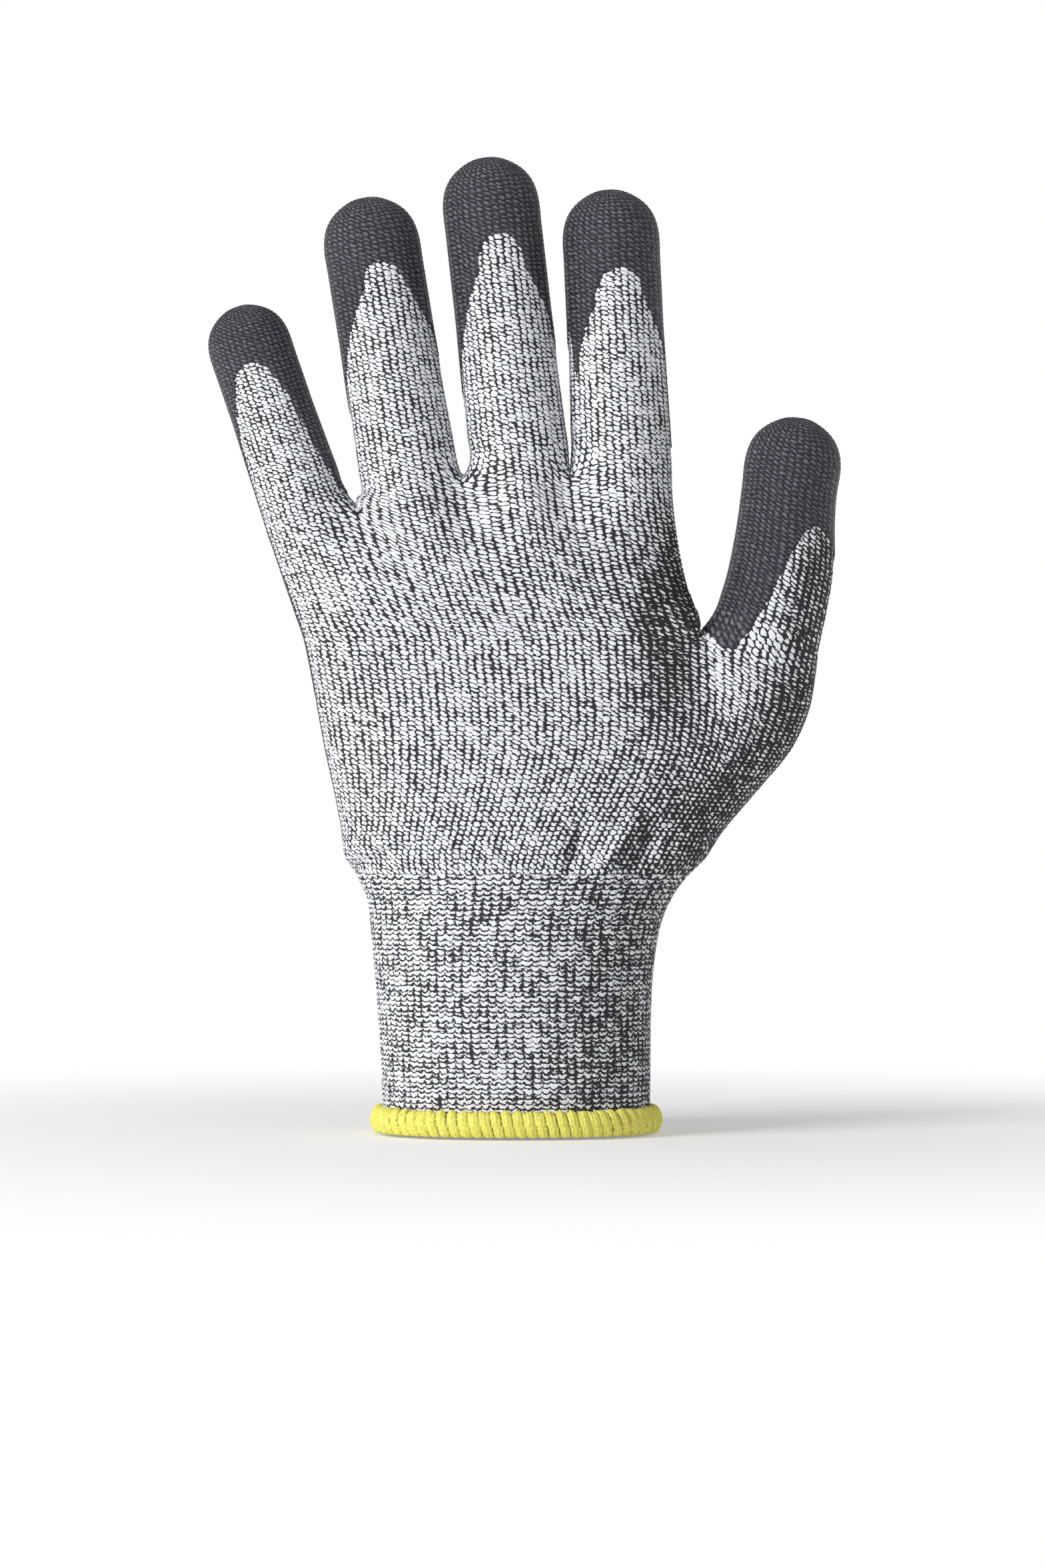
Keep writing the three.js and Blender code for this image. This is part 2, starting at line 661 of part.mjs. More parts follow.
// Materials
const knit = () => new THREE.MeshStandardMaterial({ color: 0xa9abb1, roughness: 0.9, metalness: 0 })
const flexKnit = () => new THREE.MeshStandardMaterial({ color: 0x8f9198, roughness: 0.9, metalness: 0 })
const coating = () => new THREE.MeshStandardMaterial({ color: 0x2a292e, roughness: 0.5, metalness: 0 })
const hemThread = () => new THREE.MeshStandardMaterial({ color: 0xe6ec4c, roughness: 0.7, metalness: 0 })
const elasticThread = () => new THREE.MeshStandardMaterial({ color: 0xd8d6cf, roughness: 0.6, metalness: 0 })

const glove = new THREE.Group()

function addNode(name, solid, material) {
  const { vertProperties, numProp, index } = largestBody(solid)
  const used = new Map()
  const position = []
  const order = index.map((v) => {
    if (!used.has(v)) {
      used.set(v, used.size)
      position.push(...vertProperties.subarray(v * numProp, v * numProp + 3))
    }
    return used.get(v)
  })
  const geometry = new THREE.BufferGeometry()
  geometry.setAttribute('position', new THREE.Float32BufferAttribute(position, 3))
  geometry.setIndex(order)
  const mesh = new THREE.Mesh(geometry, material)
  mesh.name = name
  glove.add(mesh)
}

// Cuts that every layer shares: one clear zone at each fold
const folds = Object.fromEntries(fingers.map((f) => [f.name, fingerFolds(f)]))
const [thumbRoot, thumbKnuckle] = thumbFolds()
const liner = wall(-linerWall, 0)
const coat = wall(seat, coatOut).subtract(bareRegion()).subtract(belowCoat())
const flexCoat = wall(-linerWall / 2, coatOut).subtract(bareRegion()).subtract(belowCoat())
const flexWall = liner.add(flexCoat)

const fingerReach = middleLength + overrun
const fingerBox = (f) => beyond(folds[f.name][0], fingerReach, foldWidth(f) + seat)
const thumbReach = palmWidth

// Everything on the thumb's side of the swing line, and everything beyond a thumb fold
function thumbRegion() {
  const outline = [[0, -through], [thumbReach, -through], [thumbReach, through], [0, through]]
  const reach = palmHeight + overrun
  return prism(outline, swingLow, swingOutward, vec(0, 1, 0), swingAxis, 0, reach)
}
const thumbSpace = thumbRegion()
const thumbBeyond = (f) => beyond(f, thumbReach, thumbWidth).intersect(thumbSpace)

function segment(layer, region, cuts) {
  return cuts.reduce((solid, cut) => solid.subtract(cut), layer.intersect(region))
}

// Root zones reach below the web only under their own finger
const rootZones = (grow) => fingers.map((f) => foldZone(folds[f.name][0], grow))
const swingZone = (grow) => foldZone(swing, grow)
const wristZone = (grow) => foldZone(wrist, grow)
const thumbRootZone = (grow) => foldZone(thumbRoot, grow).intersect(thumbSpace)
const above = beyond(wrist, palmHeight + middleLength + overrun, palmWidth)

function palmLayer(layer) {
  const cuts = [...fingers.map(fingerBox), ...rootZones(seat), thumbSpace, swingZone(seat), wristZone(seat)]
  return segment(layer, above, cuts)
}

function fingerNodes(f) {
  const [root, first, second] = folds[f.name]
  const zones = [root, first, second].map((fo) => foldZone(fo, seat))
  const half = foldWidth(f) + seat
  const regions = [root, first, second].map((fo) => beyond(fo, fingerReach, half + seat))
  const parts = ['proximal', 'middle', 'tip']
  parts.forEach((part, k) => {
    let region = beyond([root, first, second][k], fingerReach, half)
    if (k < 2) region = region.subtract(regions[k + 1])
    const cuts = zones.slice(k, k + 2)
    addNode(`${f.name}_${part}_stall`, segment(liner, region, cuts), knit())
    addNode(`${f.name}_${part}_coating`, segment(coat, region, cuts), coating())
  })
  for (const [where, line] of Object.entries({ root, first, second })) {
    addNode(`${f.name}_${where}_flex`, flexWall.intersect(foldZone(line, 0)), flexKnit())
  }
}

function thumbNodes() {
  const swingCut = swingZone(seat)
  const rootCut = thumbRootZone(seat)
  const knuckleCut = foldZone(thumbKnuckle, seat)
  const wristCut = wristZone(seat)
  const parts = [
    ['base', thumbSpace.subtract(thumbBeyond(thumbRoot)), [swingCut, rootCut, wristCut]],
    ['proximal', thumbBeyond(thumbRoot).subtract(thumbBeyond(thumbKnuckle)), [swingCut, rootCut, knuckleCut]],
    ['tip', thumbBeyond(thumbKnuckle), [knuckleCut]],
  ]
  for (const [part, region, cuts] of parts) {
    addNode(`thumb_${part}_stall`, segment(liner, region, cuts), knit())
    addNode(`thumb_${part}_coating`, segment(coat, region, cuts), coating())
  }
  const swingSolid = flexWall.intersect(swingZone(0)).subtract(wristZone(seat))
  addNode('thumb_web_flex', swingSolid, flexKnit())
  const rootSolid = flexWall.intersect(thumbRootZone(0)).subtract(swingZone(seat))
  addNode('thumb_root_flex', rootSolid, flexKnit())
  addNode('thumb_knuckle_flex', flexWall.intersect(foldZone(thumbKnuckle, 0)), flexKnit())
}

// The cuff, its hem and the elastic thread laid inside it
function ringAt(height, out, step) {
  const ring = []
  for (let i = 0; i < columns; i += step) ring.push(cuffPoint(i, height, out))
  return ring
}

function cuffPoint(i, height, out) {
  const stops = [[(hemFloor + seat) / cuffHeight, ...cuffMouthShare], ...cuffShares]
  let k = 0
  while (k < stops.length - 2 && height / cuffHeight > stops[k + 1][0]) k += 1
  const t = (height / cuffHeight - stops[k][0]) / (stops[k + 1][0] - stops[k][0])
  const [left, right, depth] = [1, 2, 3].map((n) => mix(stops[k][n], stops[k + 1][n], t))
  const [u, v] = evenPlace(i)
  const centre = ((left + right) / 2) * cuffWidth
  const half = ((right - left) / 2) * cuffWidth + out
  const deep = (depth * cuffDepth) / 2 + out
  return vec(centre + u * half, v * deep, height)
}

// A closed ring that carries one outline round the cuff
function hoop(outline, step = 1) {
  const rings = outline.map(([height, out]) => ringAt(height, out, step))
  const verts = rings.flat()
  const tris = []
  const count = rings[0].length
  rings.forEach((_, k) => {
    const a = k * count
    const b = ((k + 1) % rings.length) * count
    for (let i = 0; i < count; i++) {
      const j = (i + 1) % count
      tris.push([a + i, a + j, b + j], [a + i, b + j, b + i])
    }
  })
  return toSolid(verts, tris)
}

function hemOutline() {
  const outer = hemProud
  const inner = -linerWall - seat - hemLining
  return [
    [0, outer - hemFlat],
    [hemHeight * hemRoundShare, outer],
    [hemHeight * (1 - hemRoundShare), outer],
    [hemHeight, outer - hemFlat],
    [hemHeight, seat],
    [hemFloor, seat],
    [hemFloor, -linerWall - seat],
    [hemHeight * liningShare, -linerWall - seat],
    [hemHeight * liningShare, inner],
    [hemFloor / 2, inner],
    [0, inner + hemLining],
  ]
}

function elasticRings() {
  const rings = []
  for (let k = 0; k < elasticCount; k++) {
    const low = elasticStart + k * elasticPitch
    const outer = -linerWall - seat
    const thread = [
      [low, outer], [low + elasticThick, outer],
      [low + elasticThick, outer - elasticThick], [low, outer - elasticThick],
    ]
    rings.push(hoop(thread, elasticStep))
  }
  return rings
}

addNode('cuff_rib', liner.subtract(above).subtract(wristZone(seat)), knit())
addNode('hem_overlock', hoop(hemOutline()), hemThread())
elasticRings().forEach((ring, k) => addNode(`cuff_elastic_${k + 1}`, ring, elasticThread()))
addNode('wrist_flex', liner.intersect(wristZone(0)).subtract(swingZone(seat)), flexKnit())
addNode('palm_liner', palmLayer(liner), knit())
addNode('palm_coating', palmLayer(coat), coating())
fingers.forEach(fingerNodes)
thumbNodes()

export default glove
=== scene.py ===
"""Knitted cut resistant work glove with a dipped palm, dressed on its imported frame.

The knit is one seamless surface. A cage of points follows the wales and courses of the real
knitting, four stitches to a face each way, and Catmull-Clark subdivision makes it smooth. Sizes
are in millimetres unless a comment says metres, in the frame's axes: x towards the thumb, y out
of the palm, z from the cuff to the fingertips.
"""

import functools
import json
import math

import bpy
import numpy as np
from bpy.props import FloatProperty, FloatVectorProperty, PointerProperty
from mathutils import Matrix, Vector


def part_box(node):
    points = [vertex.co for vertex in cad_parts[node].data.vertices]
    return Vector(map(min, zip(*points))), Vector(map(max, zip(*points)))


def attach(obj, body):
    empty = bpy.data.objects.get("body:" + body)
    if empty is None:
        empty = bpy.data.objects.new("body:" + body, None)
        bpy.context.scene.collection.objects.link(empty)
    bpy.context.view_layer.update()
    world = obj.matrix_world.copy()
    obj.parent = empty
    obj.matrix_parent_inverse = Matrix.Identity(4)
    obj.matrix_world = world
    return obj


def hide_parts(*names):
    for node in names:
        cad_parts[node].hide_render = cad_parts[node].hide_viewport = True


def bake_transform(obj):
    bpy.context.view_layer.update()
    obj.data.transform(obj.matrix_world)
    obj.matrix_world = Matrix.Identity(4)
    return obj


bl_info = {
    "name": "Cut resistant glove",
    "version": (1, 0, 0),
    "blender": (4, 5, 0),
    "location": "3D View > Sidebar > Glove",
    "description": "Dresses the frame of a knitted work glove with a dipped palm",
    "category": "Add Mesh",
}

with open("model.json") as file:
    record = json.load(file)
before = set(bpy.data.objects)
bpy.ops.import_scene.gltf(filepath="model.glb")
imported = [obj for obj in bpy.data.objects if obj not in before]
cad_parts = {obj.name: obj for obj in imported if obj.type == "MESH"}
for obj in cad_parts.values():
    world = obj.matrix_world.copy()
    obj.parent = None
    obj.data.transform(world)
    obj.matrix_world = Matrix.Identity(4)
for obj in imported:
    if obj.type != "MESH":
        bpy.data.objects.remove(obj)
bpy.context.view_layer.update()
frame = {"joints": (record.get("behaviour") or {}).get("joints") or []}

MM = 0.001
LEVELS = 4

# Kinds of shader node that are used most
MATH = "ShaderNodeMath"
VECTOR_MATH = "ShaderNodeVectorMath"
RANGE = "ShaderNodeMapRange"
NOISE = "ShaderNodeTexNoise"
MIX = "ShaderNodeMix"

# Knitting: stitches to a face of the cage, faces to a finger's back, points round a finger
STITCHES = 4
SIDE_STITCHES = 3.0
FINGER_SPANS = 3
RING = 2 * FINGER_SPANS + 4

# Rows of the cage and the height of a finger's row, rounds of fitting, steps round half a section
CUFF_ROWS = 13
HAND_ROWS = 12
KNUCKLE_ROWS = 9
LITTLE_ROWS = 6
THUMB_ROWS = 10
FINGER_PITCH = 4.7
FIT_ROUNDS = 5
HALF_STEPS = 240

# Cuff and hand below the thumb's crotch: height, left and right edge, depth of back and of
# palm at three stations across, and how far the left and right edge lie towards the palm
HAND = np.array([
    [1.9, -32.4, 33.2, 23.6, 24.0, 23.6, 23.6, 24.0, 23.6, 0.0, 0.0],
    [15, -32.7, 33.4, 23.6, 24.0, 23.6, 23.6, 24.0, 23.6, 0.0, 0.0],
    [28, -33.5, 33.5, 23.4, 23.9, 23.4, 23.4, 23.9, 23.4, 0.0, 0.0],
    [42, -34.6, 34.4, 22.8, 23.4, 22.8, 23.0, 23.4, 23.0, 0.0, 0.0],
    [52, -35.6, 36.3, 21.6, 22.4, 21.6, 22.0, 22.6, 22.2, 0.0, 0.2],
    [58, -36.5, 39.0, 20.8, 21.4, 20.6, 22.0, 22.0, 22.4, 0.0, 0.5],
    [63, -38.7, 42.6, 20.2, 20.6, 20.0, 22.6, 21.6, 23.2, 0.2, 1.0],
    [68, -41.2, 46.8, 19.8, 20.0, 19.2, 23.6, 21.6, 24.6, 0.5, 1.6],
    [74, -42.3, 51.2, 19.4, 19.4, 18.4, 24.6, 21.6, 26.0, 0.8, 2.4],
    [84, -44.2, 59.6, 18.4, 18.2, 16.6, 25.0, 21.0, 27.4, 1.0, 3.2],
    [94, -46.4, 67.8, 17.4, 17.2, 15.8, 24.4, 19.8, 26.6, 1.2, 3.8],
    [104, -48.2, 72.4, 16.8, 16.4, 15.6, 22.8, 18.4, 24.0, 1.2, 4.0],
    [114, -50.0, 74.2, 16.4, 15.6, 16.0, 20.8, 17.2, 20.6, 1.2, 4.0],
    [124, -52.2, 76.0, 16.0, 15.0, 16.4, 19.4, 16.2, 18.0, 1.2, 4.0],
])

# Its columns after the height, and the shape of the sections that it gives
LEFT, RIGHT, LEFT_LEAN, RIGHT_LEAN = 0, 1, 8, 9
BACK, PALM = slice(2, 5), slice(5, 8)
STATIONS = (0.15, 0.5, 0.85)
FULLNESS = 0.86
CUFF_TOP = 66.0
CROTCH = (45.7, 2.4, 123.2)
CROTCH_ROW = 121.6
CROTCH_SHOULDER = 47.2
THUMB_DROOP = 8.0
DROOP_SHARE = 0.72

# Above the crotch: depth of the hand's section there and at the webs, its roundness, how near
# its edge a column may come, the shares of the way by which it settles and starts to part, and
# the hollow between the hand and the thumb
KNUCKLE_DEPTH = (16.0, 11.6)
EDGE_POWER = 2.3
EDGE_SHARE = 0.995
SETTLE_SHARE = 0.4
PART_SHARE = 0.5
WAIST = {"x": 47.0, "width": 11.0, "share": 0.42, "low": 88.0, "high": 122.0}

# Fingers: middle of the root, lean in degrees, length and width from the web to the tip
FINGERS = {
    "little": {"root": (-50.6, 150.7), "lean": -19.0, "length": 55.3, "width": 19.7},
    "ring": {"root": (-25.6, 159.7), "lean": -9.3, "length": 71.2, "width": 22.9},
    "middle": {"root": (1.7, 161.8), "lean": -6.45, "length": 78.6, "width": 23.0},
    "index": {"root": (26.4, 163.6), "lean": -2.6, "length": 68.4, "width": 23.0},
}
WEBS = [(-38.9, 154.4), (-12.8, 161.8), (13.6, 163.1)]
FINGER_MIDDLE = 1.2
FINGER_CURL = 3.5
THICK = 0.89
TIP_THICK = 0.8
ROOT_FULL = 1.07
SHOULDER = 0.66
SHOULDER_DROP = 2.5
CAP_ANGLES = (24, 47, 70)

# The thumb's edges: height, left edge, right edge; its depth from the crotch to the tip
THUMB_EDGES = np.array([
    [112, 40.0, 73.9], [119, 43.5, 75.0], [123.2, 45.7, 75.9], [127, 49.2, 76.7],
    [132, 51.3, 77.7], [137, 52.8, 78.4], [142, 53.9, 78.6], [151, 55.5, 78.6],
    [158, 56.4, 79.2], [166, 57.3, 80.4], [171, 58.0, 80.6],
])
THUMB_DEPTH = np.array([[0.0, 13.6, 3.2], [0.3, 12.4, 2.6], [0.6, 11.4, 2.0], [1.0, 10.4, 1.4]])
THUMB_INNER = (123.2, 165.4)
THUMB_OUTER = (113.6, 162.6)
THUMB_LEAN = 7.2

# Relief of the stitches: rise, slant over a wale, how round a loop is and how deep between two
STITCH_RISE = 0.36
STITCH_SLANT = 0.6
LOOP_ROUND = 0.55
COURSE_DIP = 0.65

# On the cuff two loops stand where the hand has three wales, and each loop is a crescent
RIB_COURSES = 50
RIB_GAUGE = 2 / 3
RIB_SLANT = 0.12
RIB_CURVE = 0.45

# Creases over the wrist: start and end (x, z), height, half width, side (-1 back, 1 palm)
CREASES = [
    ((-40.5, 64.5), (-26, 70.5), -1.5, 1.7, -1), ((-41, 69.5), (-25, 75), 0.9, 2.6, -1),
    ((-28, 72.5), (-18.5, 65), -1.0, 1.5, -1), ((-20, 71), (-11, 66), 0.6, 2.4, -1),
    ((-3, 74), (-1, 66), -0.4, 2.0, -1), ((17, 75), (13.5, 65), -1.0, 1.9, -1),
    ((29.5, 76), (21, 65), 1.1, 2.3, -1), ((35, 74), (28.5, 64.5), -1.2, 1.9, -1),
    ((43, 73), (37, 65), 0.8, 2.4, -1), ((-34, 66), (-14, 70), -1.0, 2.0, 1),
    ((-30, 72), (-10, 76), 0.8, 3.0, 1), ((4, 68), (22, 73), -1.1, 2.2, 1), ((20, 66), (40, 76), 0.9, 2.6, 1),
]
CREASE_TAPER = 0.55
CREASE_FADE = (-2, 4)
CUFF_FOLD = {"rise": 0.6, "height": 67.5, "width": 3.2}

# The coating: how deep its hidden edge lies, its rise, its lower edge, how uneven its border is,
# over what distances it rises and is kept, and how much of the stitches' relief shows through
COAT_SINK = 0.5
COAT_RISE = 0.42
COAT_LOW = 66.5
COAT_UNEVEN = 0.35
COAT_SLOPE = (-0.5, 0.9)
COAT_KEPT = -0.6
COAT_RELIEF_SHARE = 0.5

# Border beside the hand: height and depth, on the little finger's side and on the thumb's; and
# over the webs: place across and height
LITTLE_SIDE = [(66, 2.5), (106, 2.0), (116, -0.4), (150, -0.8)]
THUMB_SIDE = [(66, 2.0), (118, 2.0), (126, 4.0), (150, 3.0)]
WEB_BORDER = [(-46, 154), (-38.9, 156.5), (-26, 164), (-12.8, 164), (1, 167), (13.6, 165.5), (27, 168),
              (39, 168)]

# The uncoated back of each finger: height over the web as a share of the length, and its left
# and right border in degrees round the finger from the middle of the back
ARCHES = {
    "little": {"rows": [(-0.35, -88, 97), (0.02, -88, 80), (0.22, -84, 49), (0.38, -75, 40), (0.53, -58, 31),
                        (0.67, -38, 15)], "top": (0.725, -14)},
    "ring": {"rows": [(-0.35, -110, 110), (0.3, -92, 102), (0.48, -57, 84), (0.59, -36, 49), (0.68, -17, 35)],
             "top": (0.758, 2)},
    "middle": {"rows": [(-0.35, -110, 110), (0.25, -96, 106), (0.41, -66, 90), (0.52, -48, 58),
                        (0.64, -23, 34)], "top": (0.747, 6)},
    "index": {"rows": [(-0.35, -110, 84), (0.06, -90, 84), (0.27, -60, 84), (0.41, -49, 80), (0.5, -38, 55),
                       (0.59, -22, 38)], "top": (0.705, 8)},
}
ARCH_STEPS = 12
ARCH_TOP_STEPS = 8
ARCH_REACH_SHARES = (-0.2, 0.7)

# The thumb's border, seen from the back, where it holds, and its depth on the palm side
THUMB_BORDER = [
    (46.4, 123.4), (48.9, 120.6), (51.2, 118.4), (54.3, 118.4), (57.7, 122.6), (63.1, 131.4), (67.3, 140.2),
    (70.4, 145.8), (73.4, 148.6), (75.8, 147.6), (77.6, 143.0), (79.2, 137.0), (92.0, 134.0), (92.0, 60.0),
    (40.0, 60.0), (40.0, 126.0),
]
THUMB_FROM = 40
THUMB_BORDER_FROM = 44.5
THUMB_BORDER_DEPTH = 4.0

# Heights between which the extra black yarn and painted shade on the sides that face the thumb fade out
SHADE_FADE = (125, 165)

# Where pieces of cloth bend: the wrist from below to above its hinge, the folds about theirs
WRIST_LOW = 30.0
WRIST_HIGH = 72.0
CUFF_CUT = 30.2
SWING_SPAN = (-3.0, 11.0)
THUMB_ROOT_SPAN = (-2.0, 10.0)
THUMB_TIP_SPAN = (-6.5, 6.5)
FOLD_SPANS = [(-6.0, 6.0), (-6.5, 6.5), (-5.0, 5.0)]
ROOT_LEAN = {"little": -9.0, "ring": -5.5, "middle": -4.0, "index": -1.5}

# Cloth tucked under the thumb's base at the crotch: how far it reaches and how deep it lies
TUCK_REACH = 7.0
TUCK_DEPTH = 0.6

# Real sizes of the patterns: a stitch, the stretch over which the tension changes, patches of
# yarn and of rubber, and the strands of the hem's thread. Then, in stitches: how far the tension
# shifts a loop, how unlike two grooves are and how soon one changes, and streaks of filament
STITCH_PITCH = 1.65
PULL_LENGTH = 3.0
YARN_PATCH = 0.75
COAT_PATCH = 1.27
HEM_STRAND = 0.7
PULL_SHIFT = (0.8, 1.3, 0.0)
GROOVE_SPREAD = 3.7
GROOVE_CHANGE = 0.22
FILAMENTS = (2.5, 9.0, 1.0)

# How much each thing adds to the black between the pale stitches, and where black starts and
# is full
COURSE_GAP = 0.95
GROOVE_GAP = 2.2
GROOVE_CLOSED = 0.33
RIB_GROOVE = 0.4
# Black yarn and painted shade added on the sides that face the thumb
SIDE_BLACK_AND_SHADE = 0.42
RIB_SIDE_SHARE = 0.55
CHANCE_BLACK = 0.35
PATCH_BLACK = 2.4
RIB_BLACK = 0.19
BLACK_START = 1.88
BLACK_FULL = 2.04

# The hem: thread wrapped round the cuff's mouth, with loops over its top and a chain below
HEM_TOP = 6.2
HEM_WRAP = 2.6
HEM_LOOP = 3.2
HEM_RING = 3.0
HEM_OUT = 0.9
HEM_HALF_WIDTH = 1.55
HEM_HALF_HEIGHT = 2.35
HEM_LOOP_RISE = 0.6
HEM_CORD_RISE = 0.75
HEM_CHAIN_RISE = 0.25
HEM_SLANT = 0.9
HEM_CHAIN_TURN = 1.25
HEM_CHAIN_WIDTH = 0.5

# The elastic thread inside the cuff: its inset from the knit's middle, and its waves
ELASTIC_COUNT = 5
ELASTIC_RADIUS = 0.35
ELASTIC_INSET = 1.0
ELASTIC_WAVE_RISE = 0.3
ELASTIC_WAVE_POINTS = 10

# The photograph's view: its height at the glove, the point at its middle, the camera's distance
VIEW_HEIGHT = 386.1
VIEW_MIDDLE = (1.97, 85.5)
CAMERA_BACK = 1200.0
SENSOR = 36.0

# The stage, in metres: the floor, the distances over which it fades, and the two soft lights
FLOOR_HALF = 3.0
FLOOR_DROP = 0.0005
FLOOR_FADE = (0.05, 0.32)
FLOOR_GLOW_SHARE = 0.25
KEY_PLACE, KEY_SIZE = (-1.1, -0.8, 0.6), 0.7
FILL_PLACE, FILL_SIZE = (0.9, -1.2, 0.3), 1.0
LIGHTS_AIM = (0, 0, 0.12)

# Parts of the knitting, each with a back and a palm side
PARTS = ["cuff", "hand", "knuckles", "little", "ring", "middle", "index", "thumb"]


def unit(angle):
    """The way along and the way across a finger that leans by an angle in degrees."""
    a = math.radians(angle)
    along = np.array([math.sin(a), 0, math.cos(a)])
    across = np.array([math.cos(a), 0, -math.sin(a)])
    return along, across


def smooth_table(table, place):
    """Values of a table at a place, on a curve through its rows."""
    x, y = table[:, 0], table[:, 1:]
    slope = np.gradient(y, x, axis=0)
    at = np.clip(np.atleast_1d(place), x[0], x[-1])
    k = np.clip(np.searchsorted(x, at) - 1, 0, len(x) - 2)
    h = (x[k + 1] - x[k])[:, None]
    s = (at - x[k])[:, None] / h
    start = (1 + 2 * s) * (1 - s) ** 2 * y[k] + s * (1 - s) ** 2 * h * slope[k]
    return start + s * s * (3 - 2 * s) * y[k + 1] + s * s * (s - 1) * h * slope[k + 1]


def smoothstep(low, high, value):
    """0 below low, 1 above high, and a smooth step between."""
    t = np.clip((value - low) / (high - low), 0, 1)
    return t * t * (3 - 2 * t)


class Cage:
    """Points that the smooth surface passes through, and faces with their place in the knitting."""

    def __init__(self):
        self.points = []
        self.faces = []
        self.stitches = []
        self.parts = []

    def add(self, points):
        """Adds points and returns their numbers."""
        first = len(self.points)
        self.points.extend(np.asarray(p, float) for p in points)
        return list(range(first, len(self.points)))

    def band(self, low, high, wales, course, part):
        """Faces between two closed rings with as many points, four courses high."""
        n = len(low)
        palm = range(n // 2, n - 1)
        for i in range(n):
            j = (i + 1) % n
            self.faces.append((low[i], low[j], high[j], high[i]))
            w = (wales[i], wales[i + 1])
            c = (course, course + STITCHES)
            self.stitches.append(((w[0], c[0]), (w[1], c[0]), (w[1], c[1]), (w[0], c[1])))
            self.parts.append(2 * PARTS.index(part) + (i in palm))

    def close(self, ring, tip, wales, course, part):
        """Triangles from a finger's last ring to its tip."""
        pole = self.add([tip])[0]
        n = len(ring)
        for i in range(n):
            self.faces.append((ring[i], ring[(i + 1) % n], pole))
            top = ((wales[i] + wales[i + 1]) / 2, course + STITCHES)
            self.stitches.append(((wales[i], course), (wales[i + 1], course), top))
            self.parts.append(2 * PARTS.index(part) + (i in range(n // 2, n - 1)))


def ring_wales(fingers, start=0.0):
    """Wale numbers round a tube of several fingers: back, side, palm, side."""
    side = [SIDE_STITCHES] * 2
    flat = [STITCHES] * (FINGER_SPANS * fingers)
    return start + np.concatenate([[0], np.cumsum(flat + side + flat + side)])


def hand_row(height, shift):
    """One row round the hand and thumb, evenly knitted; shift brings a column to the crotch."""
    spans = FINGER_SPANS * (len(FINGERS) + 1)
    girth = 2 * SIDE_STITCHES + STITCHES * spans
    share = (SIDE_STITCHES + STITCHES * np.arange(spans + 1)) / girth
    shoulder = (SIDE_STITCHES + STITCHES * FINGER_SPANS * len(FINGERS)) / girth
    values = smooth_table(HAND, height)[0]
    a = np.linspace(0, math.pi, HALF_STEPS + 1)
    u = (1 - np.sign(np.cos(a)) * np.abs(np.cos(a)) ** FULLNESS) / 2
    v = np.abs(np.sin(a)) ** FULLNESS
    x = values[LEFT] + (values[RIGHT] - values[LEFT]) * u
    rows = []
    for side, depths in ((-1, BACK), (1, PALM)):
        y = side * v * station_depth(values[depths], u)
        run = np.concatenate([[0], np.cumsum(np.hypot(np.diff(x), np.diff(y)))])
        wanted = np.interp(CROTCH_SHOULDER, x, run) / run[-1]
        moved = np.interp(share, [0, shoulder, 1], [0, shoulder + (wanted - shoulder) * shift, 1])
        rows.append((np.interp(moved * run[-1], run, u), side * np.interp(moved * run[-1], run, v)))
    back, palm = rows
    across = np.concatenate([back[0], [1], palm[0][::-1], [0]])
    through = np.concatenate([back[1], [0], palm[1][::-1], [0]])
    drop = THUMB_DROOP * shift * smoothstep(DROOP_SHARE, 1.0, across)
    return section(across, through, height - drop)


def station_depth(depths, u):
    """A curve through the depths at the three stations, at places u across."""
    s0, s1, s2 = STATIONS
    d0, d1, d2 = depths[..., 0], depths[..., 1], depths[..., 2]
    l0 = (u - s1) * (u - s2) / ((s0 - s1) * (s0 - s2))
    l1 = (u - s0) * (u - s2) / ((s1 - s0) * (s1 - s2))
    l2 = (u - s0) * (u - s1) / ((s2 - s0) * (s2 - s1))
    return d0 * l0 + d1 * l1 + d2 * l2


def section(across, through, heights):
    """Points of the hand at shares across and through it, each at its own height."""
    values = smooth_table(HAND, heights)
    left, right = values[:, LEFT], values[:, RIGHT]
    x = left + (right - left) * across
    edge = values[:, LEFT_LEAN] + (values[:, RIGHT_LEAN] - values[:, LEFT_LEAN]) * across
    back = station_depth(values[:, BACK], across)
    palm = station_depth(values[:, PALM], across)
    waist = WAIST["share"] * np.exp(-((x - WAIST["x"]) / WAIST["width"]) ** 2)
    waist = 1 - waist * smoothstep(WAIST["low"], WAIST["high"], heights)
    y = edge + np.where(through < 0, back, palm) * through * waist
    return np.column_stack([x, y, heights])


def finger_centre(f, s):
    """The middle of a finger at a height over its web."""
    along, _ = unit(f["lean"])
    root = np.array([f["root"][0], FINGER_MIDDLE, f["root"][1]])
    curl = FINGER_CURL * (max(s, 0) / f["length"]) ** 2
    return root + along * s + np.array([0, curl, 0])


def finger_ring(f, s, scale=1.0):
    """Points round a finger, from the back on the little finger's side over the thumb's side."""
    _, across = unit(f["lean"])
    share = min(max(s / f["length"], 0), 1)
    half = f["width"] / 2 * (ROOT_FULL + (1 - ROOT_FULL) * min(share * 2, 1)) * scale
    thick = THICK + (TIP_THICK - THICK) * max(share * 2 - 1, 0)
    a = math.pi + (np.arange(RING) + 1) * 2 * math.pi / RING
    ring = finger_centre(f, s) + np.outer(half * np.cos(a), across)
    ring[:, 1] += half * thick * np.sin(a)
    return ring


